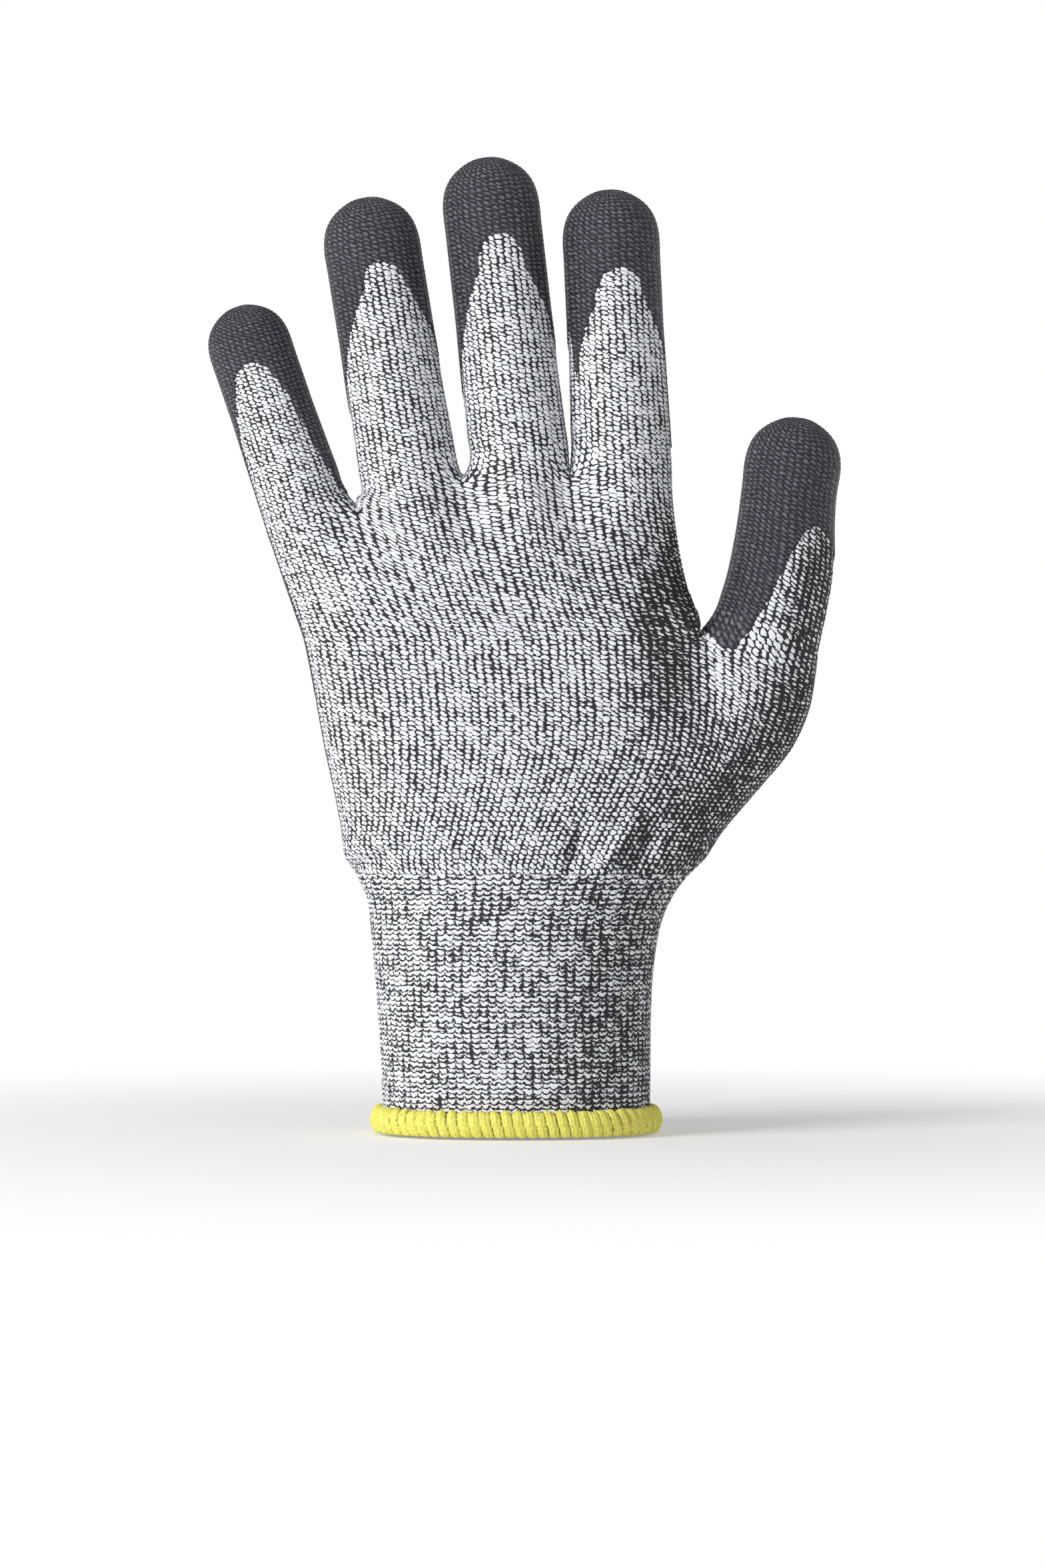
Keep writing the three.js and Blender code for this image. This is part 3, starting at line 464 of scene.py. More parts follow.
def knuckle_targets():
    """Where the columns of back and palm meet the fingers, and the two outer sides."""
    names = list(FINGERS)
    back, palm = [], []
    for c in range(FINGER_SPANS * len(names) + 1):
        owner = min(c // FINGER_SPANS, len(names) - 1)
        local = c - owner * FINGER_SPANS
        f = FINGERS[names[owner]]
        ring = finger_ring(f, 0)
        if local == 0 and owner > 0:
            x, z = WEBS[owner - 1]
            depth = f["width"] / 2 * ROOT_FULL * THICK * SHOULDER
            back.append(np.array([x, FINGER_MIDDLE - depth, z - SHOULDER_DROP]))
            palm.append(np.array([x, FINGER_MIDDLE + depth, z - SHOULDER_DROP]))
        else:
            back.append(ring[local])
            palm.append(ring[RING - 2 - local])
    left = finger_ring(FINGERS["little"], 0)[-1]
    right = finger_ring(FINGERS["index"], 0)[FINGER_SPANS + 1]
    return back, palm, left, right


def climb(start, end, t, across):
    """A column's path from the crotch's row up to its finger, without its depth."""
    x_share = t + (1 - (1 - t) ** 2 - t) * across
    return start + (end - start) * np.array([x_share, t, t])


def round_off(paths, outer, top):
    """Gives the columns above the thumb's crotch the depth of the hand's own section."""
    left, right = outer["left"], outer["right"]
    for (side, _), column in paths.items():
        low, high = column[0][1], column[-1][1]
        sign = -1 if side == "back" else 1
        for r, point in enumerate(column[1:], 1):
            t = r / top
            edge = left[min(r, len(left) - 1)], right[r]
            u = np.clip(2 * (point[0] - edge[0][0]) / (edge[1][0] - edge[0][0]) - 1, -EDGE_SHARE, EDGE_SHARE)
            middle = (edge[0][1] + edge[1][1]) / 2
            depth = KNUCKLE_DEPTH[0] + (KNUCKLE_DEPTH[1] - KNUCKLE_DEPTH[0]) * t
            own = middle + sign * depth * (1 - abs(u) ** EDGE_POWER) ** (1 / EDGE_POWER)
            settled = low + (own - low) * smoothstep(0, SETTLE_SHARE, t)
            parted = smoothstep(PART_SHARE, 1.0, r / (len(column) - 1))
            point[1] = settled + (high - settled) * parted


def build_hand(cage):
    """Cuff, hand and thumb's base as one tube; returns the ring at the thumb's crotch."""
    wales = ring_wales(len(FINGERS) + 1)
    rows = [(z, 0, "cuff") for z in np.linspace(HAND[0, 0], CUFF_TOP, CUFF_ROWS + 1)]
    for z in np.linspace(CUFF_TOP, CROTCH_ROW, HAND_ROWS + 1)[1:]:
        rows.append((z, float(smoothstep(CUFF_TOP, CROTCH_ROW, z)), "hand"))
    last = cage.add(hand_row(*rows[0][:2]))
    course = 0
    for z, shift, part in rows[1:]:
        ring = cage.add(hand_row(z, shift))
        cage.band(last, ring, wales, course, part)
        last, course = ring, course + STITCHES
    return last, course


def build_knuckles(cage, ring, course):
    """The hand above the thumb: the little finger leaves first, then the other three."""
    spans = FINGER_SPANS * len(FINGERS)
    back = ring[:spans + 1]
    palm = ring[len(ring) - 2 - spans:len(ring) - 1]
    crotch = cage.add([CROTCH])[0]
    start = {"back": back, "palm": palm[::-1], "right": crotch, "left": ring[-1]}
    top_back, top_palm, top_left, top_right = knuckle_targets()
    paths = {}

    def path(first, target, across, rows):
        """A column's places from the crotch's row to its finger."""
        begin = cage.points[first]
        return [begin] + [climb(begin, target, r / rows, across) for r in range(1, rows + 1)]

    for c in range(spans + 1):
        rows = LITTLE_ROWS if c <= FINGER_SPANS else KNUCKLE_ROWS
        paths["back", c] = path(start["back"][c], top_back[c], c / spans, rows)
        paths["palm", c] = path(start["palm"][c], top_palm[c], c / spans, rows)
    outer = {
        "left": path(start["left"], top_left, 0, LITTLE_ROWS),
        "right": path(start["right"], top_right, 1, KNUCKLE_ROWS),
    }
    round_off(paths, outer, KNUCKLE_ROWS)
    firsts = {(side, c): start[side][c] for side in ("back", "palm") for c in range(spans + 1)}
    firsts.update({side: start[side] for side in outer})
    paths = {key: [firsts[key]] + cage.add(column[1:]) for key, column in {**paths, **outer}.items()}

    def tube(row, first):
        """The ring of a row, from the column where its first finger starts."""
        cols = range(first, spans + 1)
        left = paths["left"] if first == 0 else paths["web"]
        lower = LITTLE_ROWS if first else 0
        ring = [paths["back", c][row - (lower if c == first else 0)] for c in cols]
        ring.append(paths["right"][row])
        ring += [paths["palm", c][row - (lower if c == first else 0)] for c in reversed(cols)]
        ring.append(left[row - lower])
        return ring

    wales = ring_wales(len(FINGERS))
    for row in range(LITTLE_ROWS):
        cage.band(tube(row, 0), tube(row + 1, 0), wales, course, "knuckles")
        course += STITCHES
    web = cage.add([(WEBS[0][0], FINGER_MIDDLE, WEBS[0][1])])[0]
    c = FINGER_SPANS
    little = [paths["back", k][-1] for k in range(c + 1)] + [web]
    little += [paths["palm", k][-1] for k in reversed(range(c + 1))] + [paths["left"][-1]]
    steps = np.arange(1, KNUCKLE_ROWS - LITTLE_ROWS + 1)[:, None] / (KNUCKLE_ROWS - LITTLE_ROWS)
    first = finger_ring(FINGERS["ring"], 0)
    boundary = {"back": first[0], "palm": first[RING - 2]}
    for side in ("back", "palm"):
        begin = paths[side, c][-1]
        way = cage.points[begin] + (boundary[side] - cage.points[begin]) * steps
        paths[side, c] = [begin] + cage.add(way)
    way = cage.points[web] + (first[-1] - cage.points[web]) * steps
    paths["web"] = [web] + cage.add(way)
    wales = ring_wales(len(FINGERS) - 1, STITCHES * FINGER_SPANS)
    little_course = course
    for row in range(LITTLE_ROWS, KNUCKLE_ROWS):
        cage.band(tube(row, c), tube(row + 1, c), wales, course, "knuckles")
        course += STITCHES
    webs = cage.add([(x, FINGER_MIDDLE, z) for x, z in WEBS[1:]])
    top = tube(KNUCKLE_ROWS, c)
    n = FINGER_SPANS
    count = len(top)
    roots = {"little": (little, little_course)}
    for k, name in enumerate(("ring", "middle", "index")):
        low = top[n * k:n * (k + 1) + 1]
        right = webs[k] if k < 2 else top[3 * n + 1]
        end = count - 1 - n * k
        high = top[end - n - 1:end]
        left = webs[k - 1] if k else top[-1]
        roots[name] = (low + [right] + high + [left], course)
    return roots, crotch


def build_finger(cage, name, ring, course, number):
    """A finger from its root's ring to its tip."""
    f = FINGERS[name]
    radius = f["width"] / 2
    wales = ring_wales(1, number * STITCHES * FINGER_SPANS)
    straight = f["length"] - radius
    rows = round(straight / FINGER_PITCH)
    for s in np.linspace(0, straight, rows + 1)[1:]:
        above = cage.add(finger_ring(f, s))
        cage.band(ring, above, wales, course, name)
        ring, course = above, course + STITCHES
    for angle in CAP_ANGLES:
        a = math.radians(angle)
        above = cage.add(finger_ring(f, straight + radius * math.sin(a), math.cos(a)))
        cage.band(ring, above, wales, course, name)
        ring, course = above, course + STITCHES
    cage.close(ring, finger_centre(f, f["length"]), wales, course, name)


def thumb_ring(outer, inner, middle, half):
    """Points round the thumb between its two edges, with its middle and half depth."""
    centre = (outer + inner) / 2
    across = (outer - inner) / 2
    a = math.pi + (np.arange(RING) + 1) * 2 * math.pi / RING
    ring = centre + np.outer(np.cos(a), across)
    ring[:, 1] += middle + half * np.sin(a)
    return ring


def build_thumb(cage, ring, crotch, course):
    """The thumb from the crotch's ring to its tip."""
    spans = FINGER_SPANS * len(FINGERS)
    n = FINGER_SPANS
    last = ring[spans:spans + 2 * n + 3] + [crotch]
    wales = ring_wales(1, STITCHES * spans)
    for k in range(1, THUMB_ROWS + 1):
        t = k / THUMB_ROWS
        z_out = THUMB_OUTER[0] + (THUMB_OUTER[1] - THUMB_OUTER[0]) * t
        z_in = THUMB_INNER[0] + (THUMB_INNER[1] - THUMB_INNER[0]) * t
        outer = np.array([smooth_table(THUMB_EDGES, z_out)[0][1], 0, z_out])
        inner = np.array([smooth_table(THUMB_EDGES, z_in)[0][0], 0, z_in])
        half, middle = smooth_table(THUMB_DEPTH, t)[0]
        above = cage.add(thumb_ring(outer, inner, middle, half))
        cage.band(last, above, wales, course, "thumb")
        last, course = above, course + STITCHES
    along, _ = unit(THUMB_LEAN)
    radius = np.linalg.norm(outer - inner) / 2
    for angle in CAP_ANGLES:
        a = math.radians(angle)
        rise = along * radius * math.sin(a)
        shrink = (outer - inner) / 2 * (1 - math.cos(a))
        ring = thumb_ring(outer + rise - shrink, inner + rise + shrink, middle, half * math.cos(a))
        above = cage.add(ring)
        cage.band(last, above, wales, course, "thumb")
        last, course = above, course + STITCHES
    tip = (outer + inner) / 2 + along * radius + np.array([0, middle, 0])
    cage.close(last, tip, wales, course, "thumb")


def limit_places(points, faces, rim):
    """Where Catmull-Clark subdivision takes the cage's points."""
    n = len(points)
    middle = np.array([points[list(f)].mean(0) for f in faces])
    edges = {}
    for k, f in enumerate(faces):
        for i in range(len(f)):
            key = tuple(sorted((f[i], f[(i + 1) % len(f)])))
            edges.setdefault(key, []).append(k)
    pairs = np.array(list(edges))
    both = np.array([v if len(v) == 2 else (v[0], v[0]) for v in edges.values()])
    half = (points[pairs[:, 0]] + points[pairs[:, 1]]) / 2
    edge_point = (half * 2 + middle[both[:, 0]] + middle[both[:, 1]]) / 4
    sums = {"face": np.zeros((n, 3)), "half": np.zeros((n, 3)), "edge": np.zeros((n, 3))}
    valence = np.zeros(n)
    for k, f in enumerate(faces):
        sums["face"][list(f)] += middle[k]
    for side in (0, 1):
        np.add.at(sums["half"], pairs[:, side], half)
        np.add.at(sums["edge"], pairs[:, side], edge_point)
        np.add.at(valence, pairs[:, side], 1)
    m = valence[:, None]
    moved = (sums["face"] / m + 2 * sums["half"] / m + (m - 3) * points) / m
    # The first subdivision's face points are the faces' middles
    result = (m * m * moved + 4 * sums["edge"] + sums["face"]) / (m * (m + 5))
    ahead, behind = np.roll(rim, -1), np.roll(rim, 1)
    result[rim] = (points[ahead] + 4 * points[rim] + points[behind]) / 6
    return result


def fit_cage(cage, rim):
    """Moves the points until the smooth surface passes through where they were."""
    target = np.array(cage.points)
    points = target.copy()
    for _ in range(FIT_ROUNDS):
        points += target - limit_places(points, cage.faces, np.array(rim))
    return points


def knit_surface():
    """The whole glove's fine surface: points, quads, place in the knitting, part of each quad."""
    cage = Cage()
    ring, course = build_hand(cage)
    rim = list(range(len(ring)))
    roots, crotch = build_knuckles(cage, ring, course)
    for number, name in enumerate(FINGERS):
        build_finger(cage, name, *roots[name], number)
    build_thumb(cage, ring, crotch, course)
    points = fit_cage(cage, rim)
    mesh = bpy.data.meshes.new("cage")
    mesh.from_pydata([tuple(p) for p in points], [], cage.faces)
    layer = mesh.uv_layers.new(name="stitches")
    flat = [value for face in cage.stitches for corner in face for value in corner]
    layer.data.foreach_set("uv", flat)
    mesh.polygons.foreach_set("material_index", cage.parts)
    piece = bpy.data.objects.new("cage", mesh)
    bpy.context.scene.collection.objects.link(piece)
    subdivide = piece.modifiers.new("smooth", "SUBSURF")
    subdivide.levels = subdivide.render_levels = LEVELS
    subdivide.uv_smooth = "NONE"
    subdivide.quality = 4
    graph = bpy.context.evaluated_depsgraph_get()
    fine = piece.evaluated_get(graph).to_mesh()
    surface = read_mesh(fine)
    piece.evaluated_get(graph).to_mesh_clear()
    bpy.data.objects.remove(piece)
    bpy.data.meshes.remove(mesh)
    return surface


def read_mesh(mesh):
    """Points, quads, stitch places and parts of a mesh as arrays."""
    points = np.zeros(len(mesh.vertices) * 3)
    mesh.vertices.foreach_get("co", points)
    quads = np.zeros(len(mesh.loops), int)
    mesh.loops.foreach_get("vertex_index", quads)
    uv = np.zeros(len(mesh.loops) * 2)
    mesh.uv_layers[0].data.foreach_get("uv", uv)
    part = np.zeros(len(mesh.polygons), int)
    mesh.polygons.foreach_get("material_index", part)
    return {
        "points": points.reshape(-1, 3),
        "quads": quads.reshape(-1, 4),
        "stitches": uv.reshape(-1, 4, 2),
        "part": part,
    }


def surface_normals(points, quads):
    """A way out of the surface at each point."""
    a = points[quads[:, 2]] - points[quads[:, 0]]
    b = points[quads[:, 3]] - points[quads[:, 1]]
    face = np.cross(a, b)
    out = np.zeros_like(points)
    for k in range(4):
        np.add.at(out, quads[:, k], face)
    return out / np.maximum(np.linalg.norm(out, axis=1, keepdims=True), 1e-12)


def find_joint(name):
    """A joint as the frame describes it."""
    return next(j for j in frame["joints"] if j["name"] == name)


def joint_place(name):
    """A joint's place in the frame."""
    return np.array(find_joint(name)["pos_m"]) / MM


def segment_place(points, start, end):
    """The nearest place on a straight line, as a share of its length, and the distance to it."""
    run = end - start
    t = np.clip(((points - start) @ run) / (run @ run), 0, 1)
    return t, np.linalg.norm(points - start - t[:, None] * run, axis=1)


def outline_distance(points, outline):
    """Distance to a closed outline, negative inside it."""
    a = np.array(outline, float)
    b = np.roll(a, -1, axis=0)
    best = np.full(len(points), np.inf)
    inside = np.zeros(len(points), bool)
    for p, q in zip(a, b):
        run = q - p
        best = np.minimum(best, segment_place(points, p, q)[1])
        if p[1] != q[1]:
            crosses = (p[1] > points[:, 1]) != (q[1] > points[:, 1])
            x = p[0] + (points[:, 1] - p[1]) * run[0] / run[1]
            inside ^= crosses & (points[:, 0] < x)
    return np.where(inside, -best, best)


def finger_place(f, points):
    """Height over the web, angle round the finger from its back in radians, and place across."""
    along, across = unit(f["lean"])
    root = np.array([f["root"][0], FINGER_MIDDLE, f["root"][1]])
    s = (points - root) @ along
    curl = FINGER_CURL * (np.maximum(s, 0) / f["length"]) ** 2
    a = (points - root) @ across
    y = (points[:, 1] - FINGER_MIDDLE - curl) / THICK
    return s, np.arctan2(a, -y), a


def arch_outline(name):
    """The border of a finger's bare back, unrolled: places round and along, in millimetres."""
    f, arch = FINGERS[name], ARCHES[name]
    half = math.radians(1) * f["width"] / 2
    rows = np.array(arch["rows"], float)
    top_share, top_turn = arch["top"]
    last = rows[-1]
    levels = np.linspace(rows[0, 0], last[0], ARCH_STEPS)
    left, right = smooth_table(rows, levels).T
    turn = np.linspace(0, math.pi / 2, ARCH_TOP_STEPS)[1:]
    rise = last[0] + (top_share - last[0]) * np.sin(turn)
    left = np.concatenate([left, top_turn + (last[1] - top_turn) * np.cos(turn)])
    right = np.concatenate([right, top_turn + (last[2] - top_turn) * np.cos(turn)])
    levels = np.concatenate([levels, rise]) * f["length"]
    one = np.column_stack([left * half, levels])
    two = np.column_stack([right * half, levels])[:-1][::-1]
    return np.concatenate([one, two])


def coat_distance(points):
    """How far inside the coating a point of the knit lies; negative on the bare back."""
    x, y, z = points.T
    level = np.where(x < 0, np.interp(z, *zip(*LITTLE_SIDE)), np.interp(z, *zip(*THUMB_SIDE)))
    web = np.interp(x, *zip(*WEB_BORDER))
    bare = np.maximum(y - level, z - web)
    down, beside = ARCH_REACH_SHARES
    for name, f in FINGERS.items():
        s, turn, a = finger_place(f, points)
        near = (s > down * f["length"]) & (np.abs(a) < beside * f["width"])
        flat = np.column_stack([turn[near] * f["width"] / 2, s[near]])
        bare[near] = np.minimum(bare[near], outline_distance(flat, arch_outline(name)))
    thumb = x > THUMB_FROM
    border = outline_distance(points[thumb][:, [0, 2]], THUMB_BORDER)
    border = np.maximum(border, y[thumb] - THUMB_BORDER_DEPTH)
    bare[thumb] = np.where(x[thumb] > THUMB_BORDER_FROM, border, bare[thumb])
    return np.minimum(bare, z - COAT_LOW)


def stitch_relief(stitches):
    """Height of the knit over its mean surface, from 0 to 1, at places in wales and courses."""
    rib = stitches[..., 1] < RIB_COURSES
    across = (stitches[..., 0] * np.where(rib, RIB_GAUGE, 1)) % 1
    side = 2 * across - 1
    slant, curve = np.where(rib, RIB_SLANT, STITCH_SLANT), np.where(rib, RIB_CURVE, 0)
    up = stitches[..., 1] + slant * side / 2 - curve * side ** 2
    blob = 0.5 - 0.5 * np.cos(2 * np.pi * up)
    return (1 - LOOP_ROUND * side ** 2) * (1 - COURSE_DIP + COURSE_DIP * blob)


def crease_height(points):
    """Folds where the knit bunches over the cuff, in millimetres outward."""
    x, y, z = points.T
    flat = np.column_stack([x, z])
    height = CUFF_FOLD["rise"] * np.exp(-((z - CUFF_FOLD["height"]) / CUFF_FOLD["width"]) ** 2)
    for start, end, rise, width, side in CREASES:
        t, away = segment_place(flat, np.array(start, float), np.array(end, float))
        taper = 1 - CREASE_TAPER * np.abs(2 * t - 1)
        height += rise * taper * np.exp(-(away / width) ** 2) * smoothstep(*CREASE_FADE, side * y)
    return height


def stitch_noise(stitches):
    """A steady random number from -1 to 1 for each stitch."""
    # A sine of such large steps has digits that look like chance
    cell = np.floor(stitches + 0.01)
    value = np.sin(cell[..., 0] * 12.9898 + cell[..., 1] * 78.233) * 43758.5453
    return 2 * (value - np.floor(value)) - 1


def at_points(values, quads, count):
    """Means at the points of values at the quads' corners."""
    total = np.bincount(quads.ravel(), values.ravel(), count)
    return total / np.maximum(np.bincount(quads.ravel(), minlength=count), 1)


def swing_hinge():
    """A point of the thumb's swing hinge, and the way from it over the thumb."""
    axis = find_joint("thumb_swing")["axis"]
    return joint_place("thumb_swing"), np.array([axis[2], 0, -axis[0]])


def bent_piece(body, to, hinge, along, span, fold):
    """The plan of a piece from one body to the next, with the span of its length at the hinge where the cloth
    bends.
    """
    return {
        "body": body, "to": to, "start": hinge + along * span[0], "end": hinge + along * span[1],
        "knit": [fold, f"{to}_stall"], "coat": [f"{to}_coating"],
    }


def piece_plan():
    """Every piece of the glove: its bodies, where it bends between them, and what it replaces."""
    plan = {
        "cuff": {"body": "cuff", "knit": ["cuff_rib"]},
        "wrist": {
            "body": "cuff", "to": "palm", "start": (0, 0, WRIST_LOW), "end": (0, 0, WRIST_HIGH),
            "knit": ["wrist_flex"],
        },
        "palm": {"body": "palm", "knit": ["palm_liner"], "coat": ["palm_coating"]},
        "back": {"body": "palm", "knit": ["palm_liner"]},
        "thumb_base": bent_piece("palm", "thumb_base", *swing_hinge(), SWING_SPAN, "thumb_web_flex"),
    }
    along, _ = unit(THUMB_LEAN)
    for a, b, joint, span, fold in (
            ("thumb_base", "thumb_proximal", "thumb_root_bend", THUMB_ROOT_SPAN, "thumb_root_flex"),
            ("thumb_proximal", "thumb_tip", "thumb_tip_bend", THUMB_TIP_SPAN, "thumb_knuckle_flex")):
        plan[b] = bent_piece(a, b, joint_place(joint), along, span, fold)
    for name, f in FINGERS.items():
        bodies = ["palm"] + [f"{name}_{part}" for part in ("proximal", "middle", "tip")]
        for k, fold in enumerate(("root", "first", "second")):
            along, _ = unit(f["lean"] if k else ROOT_LEAN[name])
            hinge = joint_place(f"{name}_{fold}_bend")
            a, b = bodies[k:k + 2]
            plan[b] = bent_piece(a, b, hinge, along, FOLD_SPANS[k], f"{name}_{fold}_flex")
    return plan


def cut_lines(surface, centres):
    """The piece that each fine quad belongs to."""
    part, palm = surface["part"] // 2, surface["part"] % 2 == 1
    region = np.array(PARTS)[part]
    label = np.where(palm, "palm", "back").astype("<U16")
    z = centres[:, 2]
    cuff = (region == "cuff") | ((region == "hand") & (surface["course"] < surface["wrist_course"]))
    label[cuff] = np.where(z[cuff] < CUFF_CUT, "cuff", "wrist")
    swing, outward = swing_hinge()
    out = (centres - swing) @ outward
    label[(region == "hand") & ~cuff & (out > SWING_SPAN[0])] = "thumb_base"
    along, _ = unit(THUMB_LEAN)
    root, knuckle = joint_place("thumb_root_bend"), joint_place("thumb_tip_bend")
    thumb = region == "thumb"
    rise = (centres - root) @ along
    label[thumb] = "thumb_base"
    label[thumb & (rise > THUMB_ROOT_SPAN[0])] = "thumb_proximal"
    label[thumb & (rise > (knuckle - root) @ along / 2)] = "thumb_tip"
    for name, f in FINGERS.items():
        along, _ = unit(f["lean"])
        own = region == name
        places = [joint_place(f"{name}_{fold}_bend") for fold in ("root", "first", "second")]
        label[own] = f"{name}_proximal"
        for k in (1, 2):
            middle = (places[k - 1] + places[k]) / 2
            label[own & ((centres - middle) @ along > 0)] = f"{name}_{('middle', 'tip')[k - 1]}"
    return label


def linear(colour):
    """An sRGB hex colour as the linear colour that Blender's sockets take."""
    parts = [int(colour[k:k + 2], 16) / 255 for k in (1, 3, 5)]
    return tuple(c / 12.92 if c <= 0.04045 else ((c + 0.055) / 1.055) ** 2.4 for c in parts) + (1.0,)


def add_node(tree, kind, inputs=(), **settings):
    """Adds a node with its settings. Inputs are values, sockets or nodes, in order or by key."""
    node = tree.nodes.new(kind)
    for name, value in settings.items():
        setattr(node, name, value)
    for key, value in inputs.items() if isinstance(inputs, dict) else enumerate(inputs):
        if isinstance(value, bpy.types.Node):
            value = value.outputs[0]
        if isinstance(value, bpy.types.NodeSocket):
            tree.links.new(value, node.inputs[key])
        else:
            node.inputs[key].default_value = value
    return node


def new_material(name):
    """A material with its node tree and its shader."""
    material = bpy.data.materials.new(name)
    material.use_nodes = True
    tree = material.node_tree
    return material, tree, tree.nodes["Principled BSDF"]


def stitch_coordinates(tree):
    """Nodes of the stitch pattern: place from a loop's middle, each way from -1 to 1, and more."""
    uv = add_node(tree, "ShaderNodeUVMap", uv_map="stitches")
    # Uneven yarn tension shifts the loops by up to half a stitch, over two stitches or so
    pull = add_node(tree, NOISE, {
        "Vector": uv, "Scale": STITCH_PITCH / PULL_LENGTH, "Detail": 2.0, "Roughness": 0.7})
    shift = add_node(tree, VECTOR_MATH, [pull.outputs["Color"], (0.5, 0.5, 0.5)], operation="SUBTRACT")
    moved = add_node(tree, VECTOR_MATH, [shift, PULL_SHIFT, uv], operation="MULTIPLY_ADD")
    split = add_node(tree, "ShaderNodeSeparateXYZ", [moved])
    straight = add_node(tree, "ShaderNodeSeparateXYZ", [uv])
    rib = add_node(tree, MATH, [straight.outputs[1], float(RIB_COURSES)], operation="LESS_THAN")
    gauge = add_node(tree, MATH, [rib, RIB_GAUGE - 1, 1.0], operation="MULTIPLY_ADD")
    wale = add_node(tree, MATH, [split, gauge], operation="MULTIPLY")
    part = add_node(tree, MATH, [wale], operation="FRACT")
    side = add_node(tree, MATH, [part, 2.0, -1.0], operation="MULTIPLY_ADD")
    slant = add_node(
        tree, MATH, [rib, (RIB_SLANT - STITCH_SLANT) / 2, STITCH_SLANT / 2], operation="MULTIPLY_ADD")
    square = add_node(tree, MATH, [side, side], operation="MULTIPLY")
    bend = add_node(tree, MATH, [rib, -RIB_CURVE], operation="MULTIPLY")
    sloped = add_node(tree, MATH, [side, slant, split.outputs[1]], operation="MULTIPLY_ADD")
    course = add_node(tree, MATH, [bend, square, sloped], operation="MULTIPLY_ADD")
    part = add_node(tree, MATH, [course], operation="FRACT")
    rise = add_node(tree, MATH, [part, 2.0, -1.0], operation="MULTIPLY_ADD")
    column = add_node(tree, MATH, [wale], operation="FLOOR")
    row = add_node(tree, MATH, [course], operation="FLOOR")
    cell = add_node(tree, "ShaderNodeCombineXYZ", [column, row])
    chance = add_node(tree, "ShaderNodeTexWhiteNoise", {"Vector": cell})
    # The groove between two wales is open for a few courses and closed for the next few
    near = add_node(tree, MATH, [wale, 0.5], operation="ADD")
    groove = add_node(tree, MATH, [near], operation="FLOOR")
    spread = add_node(tree, MATH, [groove, GROOVE_SPREAD], operation="MULTIPLY")
    slow = add_node(tree, MATH, [split.outputs[1], GROOVE_CHANGE], operation="MULTIPLY")
    place = add_node(tree, "ShaderNodeCombineXYZ", [spread, slow])
    opening = add_node(tree, NOISE, {"Vector": place, "Scale": 1.0, "Detail": 1.0})
    return {"uv": uv, "side": side, "rise": rise, "rib": rib, "chance": chance, "opening": opening}


def knit_material(settings):
    """Filament yarn on a fine gauge flat machine, with a black yarn plated behind it.

    The eye gets matt white ovals, brightest on top, with black notches and thin lines between.
    """
    material, tree, shader = new_material("Knitted HPPE and glass yarn")
    stitch = stitch_coordinates(tree)
    across = add_node(tree, MATH, [stitch["side"]], operation="ABSOLUTE")
    upward = add_node(tree, MATH, [stitch["rise"]], operation="ABSOLUTE")
    wide = add_node(tree, MATH, [across, 2.2], operation="POWER")
    tall = add_node(tree, MATH, [upward, 2.4], operation="POWER")
    share = add_node(tree, MATH, [stitch["opening"], GROOVE_GAP, -GROOVE_CLOSED], operation="MULTIPLY_ADD")
    share = add_node(tree, MATH, [stitch["rib"], -RIB_GROOVE, share], operation="MULTIPLY_ADD")
    gap = add_node(tree, MATH, [tall, COURSE_GAP], operation="MULTIPLY")
    gap = add_node(tree, MATH, [wide, share, gap], operation="MULTIPLY_ADD")
    # Black yarn shows more on sides that face the thumb, with painted shade there, away from the key light;
    # black also shows unevenly from stitch to stitch
    shade = add_node(tree, "ShaderNodeAttribute", attribute_name="shade").outputs["Fac"]
    side_black_and_shade = add_node(tree, RANGE, [shade, 0.0, SIDE_BLACK_AND_SHADE, 0.0, SIDE_BLACK_AND_SHADE])
    hold = add_node(tree, MATH, [stitch["rib"], -RIB_SIDE_SHARE, 1.0], operation="MULTIPLY_ADD")
    gap = add_node(tree, MATH, [side_black_and_shade, hold, gap], operation="MULTIPLY_ADD")
    gap = add_node(tree, MATH, [stitch["chance"], CHANCE_BLACK, gap], operation="MULTIPLY_ADD")
    grain = add_node(tree, NOISE, {
        "Vector": stitch["uv"], "Scale": STITCH_PITCH / YARN_PATCH, "Detail": 3.0, "Roughness": 0.7})
    gap = add_node(tree, MATH, [grain, PATCH_BLACK, gap], operation="MULTIPLY_ADD")
    gap = add_node(tree, MATH, [stitch["rib"], RIB_BLACK, gap], operation="MULTIPLY_ADD")
    black = add_node(tree, RANGE, [gap, BLACK_START, BLACK_FULL], interpolation_type="SMOOTHSTEP")
    # Filaments run along the course: nine streaks to a course, two and a half to a wale
    along = add_node(tree, "ShaderNodeMapping", {"Vector": stitch["uv"], "Scale": FILAMENTS})
    fibre = add_node(tree, NOISE, {"Vector": along, "Scale": 1.0, "Detail": 3.0})
    streak = add_node(tree, RANGE, [fibre, 0.3, 0.7], interpolation_type="SMOOTHSTEP")
    pale = add_node(tree, MIX, {
        0: streak, 6: linear("#C9CAD2"), 7: settings.pale_yarn}, data_type="RGBA")
    mix = add_node(tree, MIX, {
        0: black, 6: pale.outputs[2], 7: settings.black_yarn}, data_type="RGBA")
    tree.links.new(mix.outputs[2], shader.inputs["Base Color"])
    # Loose filaments scatter light, so the yarn has no shine of its own
    shader.inputs["Roughness"].default_value = 0.75
    sunk = add_node(tree, MATH, [black, -1.0], operation="MULTIPLY")
    height = add_node(tree, MATH, [fibre, 0.3, sunk], operation="MULTIPLY_ADD")
    bump = add_node(tree, "ShaderNodeBump", {"Height": height, "Strength": 0.7, "Distance": 0.25 * MM})
    tree.links.new(bump.outputs[0], shader.inputs["Normal"])
    return material


